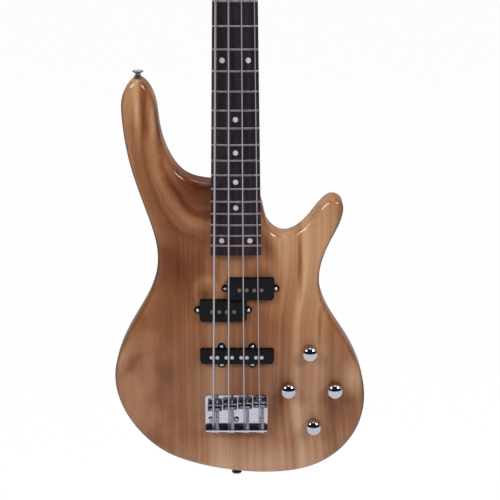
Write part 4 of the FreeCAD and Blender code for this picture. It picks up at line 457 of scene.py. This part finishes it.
def cross_screws(node, ways, reach, width, depth):
    first_turn, turn_step, crown_depth = 11, 37, 1e-4
    screws = merged_copy(node)
    recess = bmesh.new()
    for turn, shank in enumerate(islands(screws)):
        way = Vector(ways(shank[0].co)).normalized()
        top = max(v.co.dot(way) for v in shank)
        crown = [v.co for v in shank if v.co.dot(way) > top - crown_depth]
        centre = sum(crown, Vector()) / len(crown)
        made = bmesh.ops.create_cube(recess, size=1.0, matrix=Matrix.Diagonal((width, width, 2 * depth, 1)))
        sides = dict.fromkeys(f for v in made["verts"] for f in v.link_faces if abs(f.normal.z) < 0.5)
        arms = bmesh.ops.extrude_discrete_faces(recess, faces=list(sides))["faces"]
        for arm in arms:
            arm.normal_update()
            bmesh.ops.translate(recess, verts=arm.verts, vec=arm.normal * (reach - width / 2))
        cross = {v for arm in arms for v in arm.verts} | set(made["verts"])
        cross |= {v for arm in arms for e in arm.edges for f in e.link_faces for v in f.verts}
        stand = Vector((0, 0, 1)).rotation_difference(way).to_matrix().to_4x4()
        driven = Matrix.Rotation(math.radians(first_turn + turn_step * turn), 4, "Z")
        spot = Matrix.Translation(centre) @ stand @ driven
        bmesh.ops.transform(recess, matrix=spot, verts=list(cross))
    bmesh.ops.recalc_face_normals(recess, faces=recess.faces)
    piece = into_object(screws, node + "_crossed", chrome)
    tool = into_object(recess, "recess_tool", chrome)
    sink = piece.modifiers.new("recess", "BOOLEAN")
    sink.object = tool
    sink.solver = "EXACT"
    bpy.context.view_layer.update()
    view = bpy.context.evaluated_depsgraph_get()
    cut = bpy.data.meshes.new_from_object(piece.evaluated_get(view))
    piece.modifiers.clear()
    piece.data = cut
    bpy.data.objects.remove(tool)
    smooth(piece, angle=30)
    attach(piece, "instrument")
    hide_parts(node)


head_lean, head_start = math.radians(10), 0.9
head_front = Vector((0.0, -math.cos(head_lean), math.sin(head_lean)))
cross_screws("neck_screws", lambda at: (0, 1, 0), reach=0.0026, width=0.0012, depth=0.0012)
cross_screws("cover_screws", lambda at: head_front if at.z > head_start else (0, 1, 0),
             reach=0.0013, width=0.0006, depth=0.0006)


# Pickups: two offset halves between neck and bridge, and a long one by the bridge. Each is a
# moulded black ABS cover with screw ears over a waxed bobbin, and steel slugs show through its top.
dress(abs_black, "split_pickup_covers", "bridge_pickup_cover", "pickup_bobbins")
# The slugs of the long pickup are bright, and those of the split one have browned
slug, tree, place = surface("turned_slug_steel")
rust_size = 0.0016
rust = add(tree, "ShaderNodeTexNoise", {"Vector": place, "Scale": 1 / rust_size, "Detail": 3.0})
split_start, split_full = 0.20, 0.215
old = add(tree, "ShaderNodeMapRange", {
    "Value": add(tree, "ShaderNodeSeparateXYZ", {0: place}).outputs["Z"], "From Min": split_start,
    "From Max": split_full})
bright = add(tree, "ShaderNodeValToRGB", {"Fac": rust.outputs[0]}, stops=[(0.3, "#a5a0aa"), (0.7, "#c0bcc6")])
brown = add(tree, "ShaderNodeValToRGB", {"Fac": rust.outputs[0]}, stops=[(0.3, "#6d5a55"), (0.7, "#8c7a73")])
tint = add(tree, "ShaderNodeMix", {0: old.outputs[0], 6: bright.outputs[0], 7: brown.outputs[0]},
           data_type="RGBA")
dull = add(tree, "ShaderNodeMapRange", {"Value": old.outputs[0], "To Min": 0.22, "To Max": 0.45})
add(tree, "Principled BSDF", {"Base Color": tint.outputs[2], "Metallic": 1.0, "Roughness": dull.outputs[0]})
dress(slug, "pickup_poles")
cross_screws("pickup_screws", lambda at: (0, -1, 0), reach=0.0015, width=0.0007, depth=0.0007)


# Pickup foams: blocks of grey foam, cut to the cavity and squeezed under each pickup to push it up
# against its height screws. The foam's open cells show as pits.
foam, tree, place = surface("open_cell_foam")
cell_size = 0.0012
cells = add(tree, "ShaderNodeTexVoronoi", {"Vector": place, "Scale": 1 / cell_size})
shade = add(tree, "ShaderNodeValToRGB", {"Fac": cells.outputs[0]}, stops=[(0.1, "#4a4a4e"), (0.6, "#2c2c30")])
pitted = add(tree, "ShaderNodeBump", {"Height": cells.outputs[0], "Strength": 0.6, "Distance": 0.0006})
add(tree, "Principled BSDF", {"Base Color": shade.outputs[0], "Roughness": 0.95, "Normal": pitted.outputs[0]})
bm = merged_copy("pickup_foams")
bmesh.ops.bevel(bm, geom=bm.edges[:], offset=0.0008, offset_type="OFFSET", affect="EDGES", segments=3,
                profile=0.5, material=-1)
pads = smooth(into_object(bm, "pickup_foam_pads", foam), angle=40)
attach(pads, "instrument")
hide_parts("pickup_foams")


# Bridge: a chromed steel plate with its tail end bent up, screwed to the face. Four grooved barrels
# stand on height screws, and a long screw through the wall draws each one back against a spring.
# The plate was brushed across before plating, so its shine is drawn out in fine lines.
satin_plate, tree, place = surface("satin_chromed_plate")
# The real lines are a tenth as wide; they are drawn this coarse so that they show
line_length, line_width = 0.03, 0.0006
brushing = add(tree, "ShaderNodeMapping", {
    "Vector": place, "Scale": (1 / line_length, 1 / line_length, 1 / line_width)})
brushed = add(tree, "ShaderNodeTexNoise", {"Vector": brushing.outputs[0], "Scale": 1.0, "Detail": 3.0})
satin = add(tree, "ShaderNodeMapRange", {"Value": brushed.outputs[0], "To Min": 0.12, "To Max": 0.2})
tint = add(tree, "ShaderNodeValToRGB", {"Fac": brushed.outputs[0]}, stops=[
    (0.3, "#bab6c6"), (0.7, "#cbc8d5")])
add(tree, "Principled BSDF", {"Base Color": tint.outputs[0], "Metallic": 1.0, "Roughness": satin.outputs[0]})
dress(satin_plate, "bridge_plate")
# The barrels are threaded from end to end, so bright rings stand beside dark ones
threaded, tree, place = surface("chromed_thread")
# A metric thread has a pitch of 0.5 mm; the rings are drawn 1.2 mm apart so that they show. At a
# scale of 1 the wave repeats every pi / 10
thread_pitch = 0.0012
along_x = add(tree, "ShaderNodeTexWave", {"Vector": place, "Scale": math.pi / (10 * thread_pitch)},
              bands_direction="X")
rings = add(tree, "ShaderNodeBump", {"Height": along_x.outputs[1], "Strength": 0.35, "Distance": 0.0003})
haze_size = 0.006
haze = add(tree, "ShaderNodeTexNoise", {"Vector": place, "Scale": 1 / haze_size, "Detail": 3.0})
rubbed = add(tree, "ShaderNodeMapRange", {"Value": haze.outputs[0], "To Min": 0.05, "To Max": 0.18})
add(tree, "Principled BSDF", {
    "Base Color": linear("#80818c"), "Metallic": 1.0, "Roughness": rubbed.outputs[0],
    "Normal": rings.outputs[0]})
dress(threaded, "saddle_e", "saddle_a", "saddle_d", "saddle_g")
# The long screws have the same thread in a brighter plate
screw_steel, tree, place = surface("chromed_screw")
along_z = add(tree, "ShaderNodeTexWave", {"Vector": place, "Scale": math.pi / (10 * thread_pitch)},
              bands_direction="Z")
rings = add(tree, "ShaderNodeBump", {"Height": along_z.outputs[1], "Strength": 0.5, "Distance": 0.0004})
add(tree, "Principled BSDF", {
    "Base Color": linear("#c5c6cc"), "Metallic": 1.0, "Roughness": 0.15, "Normal": rings.outputs[0]})
dress(screw_steel, "intonation_screw_e", "intonation_screw_a", "intonation_screw_d", "intonation_screw_g")
cross_screws("bridge_screws", lambda at: (0, -1, 0), reach=0.0021, width=0.001, depth=0.001)


# Saddle springs: wound from thin spring steel wire. Each sits on its screw between the wall and the barrel.
spring_radius, wire_radius, turns, steps = 0.0022, 0.00035, 8, 24
string_gap, screw_shift, screw_y = 0.0193, 0.0043, -0.0293
for order, name in enumerate("eadg"):
    screw_x = string_gap * (order - 1.5) + screw_shift
    coils = nodes["saddle_springs"].data.vertices
    heights = [v.co.z for v in coils if abs(v.co.x - screw_x) < 2 * spring_radius]
    low, high = min(heights) + wire_radius, max(heights) - wire_radius
    bm = bmesh.new()
    start = Matrix.Translation((screw_x + spring_radius, screw_y, low)) @ Matrix.Rotation(math.pi / 2, 4, "X")
    bmesh.ops.create_circle(bm, segments=8, radius=wire_radius, matrix=start)
    bmesh.ops.spin(bm, geom=bm.edges[:], cent=(screw_x, screw_y, low), axis=(0, 0, 1),
                   dvec=(0, 0, (high - low) / (turns * steps)), angle=2 * math.pi * turns,
                   steps=turns * steps)
    bmesh.ops.holes_fill(bm, edges=[e for e in bm.edges if e.is_boundary])
    bmesh.ops.recalc_face_normals(bm, faces=bm.faces)
    spring = smooth(into_object(bm, f"saddle_spring_{name}", steel), angle=60)
    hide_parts("saddle_springs")
    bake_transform(spring)


# Tuners: stamped plates with two lugs, screwed to the back of the headstock. A worm on the key's
# shaft turns the wheel on the post, all chromed, and a bush with a wide flange guides the post.
dress(chrome, "tuner_plates", "tuner_bushings")
for name in "eadg":
    dress(chrome, f"tuner_post_{name}", f"tuner_key_{name}")
cross_screws("tuner_screws", lambda at: -head_front, reach=0.0013, width=0.0006, depth=0.0006)


# Strings: nickel steel wire wound round a steel core. Each runs from its ball behind the wall, over
# its barrel and the nut, to the turns on its post.
wound, tree, place = surface("wound_nickel_steel")
# The wrap wire is about 0.4 mm; its turns glint as rings, drawn 1 mm apart so that they show
wrap_pitch = 0.001
wrap = add(tree, "ShaderNodeTexWave", {"Vector": place, "Scale": math.pi / (10 * wrap_pitch)},
           bands_direction="Z")
turns_bump = add(tree, "ShaderNodeBump", {"Height": wrap.outputs[1], "Strength": 0.2, "Distance": 0.0001})
# Painted glint and shade: the colour is lighter on each turn's crest and darker between the turns, in step
# with the bump
tint = add(tree, "ShaderNodeValToRGB", {"Fac": wrap.outputs[1]}, stops=[(0.2, "#979298"), (0.8, "#bcb8bd")])
add(tree, "Principled BSDF", {
    "Base Color": tint.outputs[0], "Metallic": 1.0, "Roughness": 0.2, "Normal": turns_bump.outputs[0]})
wall_z, wall_y = 0.0737, -0.0239
nut_gap, nut_y, nut_z = 0.01166, -0.0313, 0.9774
for order, name in enumerate("eadg"):
    anchor = (string_gap * (order - 1.5), wall_y, wall_z)
    crest = min((v.co.copy() for v in nodes[f"string_{name}"].data.vertices), key=lambda at: at.y)
    rest = (nut_gap * (order - 1.5), nut_y, nut_z)
    for stretch, bodies, start, end in (
        ("tail", ("instrument", f"saddle_{name}"), anchor, crest),
        ("run", (f"saddle_{name}", "instrument"), crest, rest),
    ):
        bm = merged_copy(f"string_{name}")
        bmesh.ops.bisect_plane(
            bm, geom=bm.verts[:] + bm.edges[:] + bm.faces[:], dist=1e-7, plane_co=crest, plane_no=(0, 0, 1),
            clear_outer=stretch == "tail", clear_inner=stretch == "run")
        bmesh.ops.holes_fill(bm, edges=[e for e in bm.edges if e.is_boundary])
        wire = smooth(into_object(bm, f"string_{name}_{stretch}", wound), angle=40)
        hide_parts(f"string_{name}")
        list(bodies)
        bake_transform(wire)
        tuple(start)
        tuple(end)


# Controls: pressed metal potentiometers under the face, each with a hex nut on its bush and a
# chromed brass dome pushed onto its shaft. The bare cans are dull and a little stained.
can, tree, place = surface("pressed_can_metal")
stain_size = 0.008
stain = add(tree, "ShaderNodeTexNoise", {"Vector": place, "Scale": 1 / stain_size, "Detail": 4.0})
dull = add(tree, "ShaderNodeMapRange", {"Value": stain.outputs[0], "To Min": 0.3, "To Max": 0.5})
tint = add(tree, "ShaderNodeValToRGB", {"Fac": stain.outputs[0]}, stops=[(0.3, "#9c9c9e"), (0.7, "#bdbdbf")])
add(tree, "Principled BSDF", {"Base Color": tint.outputs[0], "Metallic": 1.0, "Roughness": dull.outputs[0]})
dress(can, "potentiometers")
dress(chrome, "panel_nuts")
for name in ("upper", "inner", "outer", "lower"):
    dress(can, f"pot_shaft_{name}")
    dress(chrome, f"knob_{name}")


# Wiring: four thin leads in black insulation, soldered between the pickups, the potentiometers and
# the jack, and lying loose in the routed channels and the control cavity. The insulation is matt,
# with a faint grey bloom.
insulation, tree, place = surface("black_insulation")
bloom_size = 0.004
bloom = add(tree, "ShaderNodeTexNoise", {"Vector": place, "Scale": 1 / bloom_size, "Detail": 3.0})
shade = add(tree, "ShaderNodeValToRGB", {"Fac": bloom.outputs[0]}, stops=[(0.3, "#17171a"), (0.7, "#26262a")])
matt = add(tree, "ShaderNodeMapRange", {"Value": bloom.outputs[0], "To Min": 0.4, "To Max": 0.6})
add(tree, "Principled BSDF", {"Base Color": shade.outputs[0], "Roughness": matt.outputs[0]})
bm = merged_copy("wiring")
bm.verts.index_update()
leads = sorted(islands(bm), key=lambda lead: max(v.co.z for v in lead))
for name, lead in zip(("jack", "bridging", "long_pickup", "split_pickup"), leads, strict=True):
    kept = {v.index for v in lead}
    one = bm.copy()
    bmesh.ops.delete(one, geom=[v for v in one.verts if v.index not in kept], context="VERTS")
    piece = smooth(into_object(one, f"{name}_lead", insulation), angle=60)
    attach(piece, "instrument")
    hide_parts("wiring")
bm.free()


# Output jack: a flanged barrel of chromed brass, screwed into a hole in the lower treble edge. It has
# the same bright plate as the knobs.
dress(chrome, "output_jack")


# Strap buttons: turned brass in dark nickel plate, worn to a soft shine, at the tail and on the bass
# horn. Each is drawn down on a washer of fuzzy black wool felt by one long screw.
dark_nickel, tree, place = surface("black_nickel_plate")
wear_size = 0.004
wear = add(tree, "ShaderNodeTexNoise", {"Vector": place, "Scale": 1 / wear_size, "Detail": 3.0})
worn = add(tree, "ShaderNodeMapRange", {"Value": wear.outputs[0], "To Min": 0.14, "To Max": 0.3})
tint = add(tree, "ShaderNodeValToRGB", {"Fac": wear.outputs[0]}, stops=[(0.3, "#5c5a5c"), (0.7, "#7d7a7c")])
add(tree, "Principled BSDF", {"Base Color": tint.outputs[0], "Metallic": 1.0, "Roughness": worn.outputs[0]})
dress(dark_nickel, "strap_buttons")
tail_top = 0.2
cross_screws("strap_screws", lambda at: (0, 0, -1) if at.z < tail_top else (0, 0, 1),
             reach=0.0016, width=0.0008, depth=0.0008)
felt, tree, place = surface("pressed_wool_felt")
# Wool fibres are far finer; the fuzz is drawn this coarse so that it shows
fuzz_size = 0.0008
fuzz = add(tree, "ShaderNodeTexNoise", {"Vector": place, "Scale": 1 / fuzz_size, "Detail": 5.0})
shade = add(tree, "ShaderNodeValToRGB", {"Fac": fuzz.outputs[0]}, stops=[(0.3, "#121214"), (0.7, "#2b2a2d")])
hairy = add(tree, "ShaderNodeBump", {"Height": fuzz.outputs[0], "Strength": 0.7, "Distance": 0.0004})
add(tree, "Principled BSDF", {
    "Base Color": shade.outputs[0], "Roughness": 0.95, "Normal": hairy.outputs[0], "Sheen Weight": 0.3})
bm = merged_copy("strap_felts")
rim_angle = 1.0
rims = [e for e in bm.edges if len(e.link_faces) == 2 and e.calc_face_angle(0.0) > rim_angle]
bmesh.ops.bevel(bm, geom=rims, offset=0.0004, offset_type="OFFSET", affect="EDGES", segments=3, profile=0.5,
                material=-1)
washers = smooth(into_object(bm, "strap_felt_washers", felt), angle=40)
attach(washers, "instrument")
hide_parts("strap_felts")
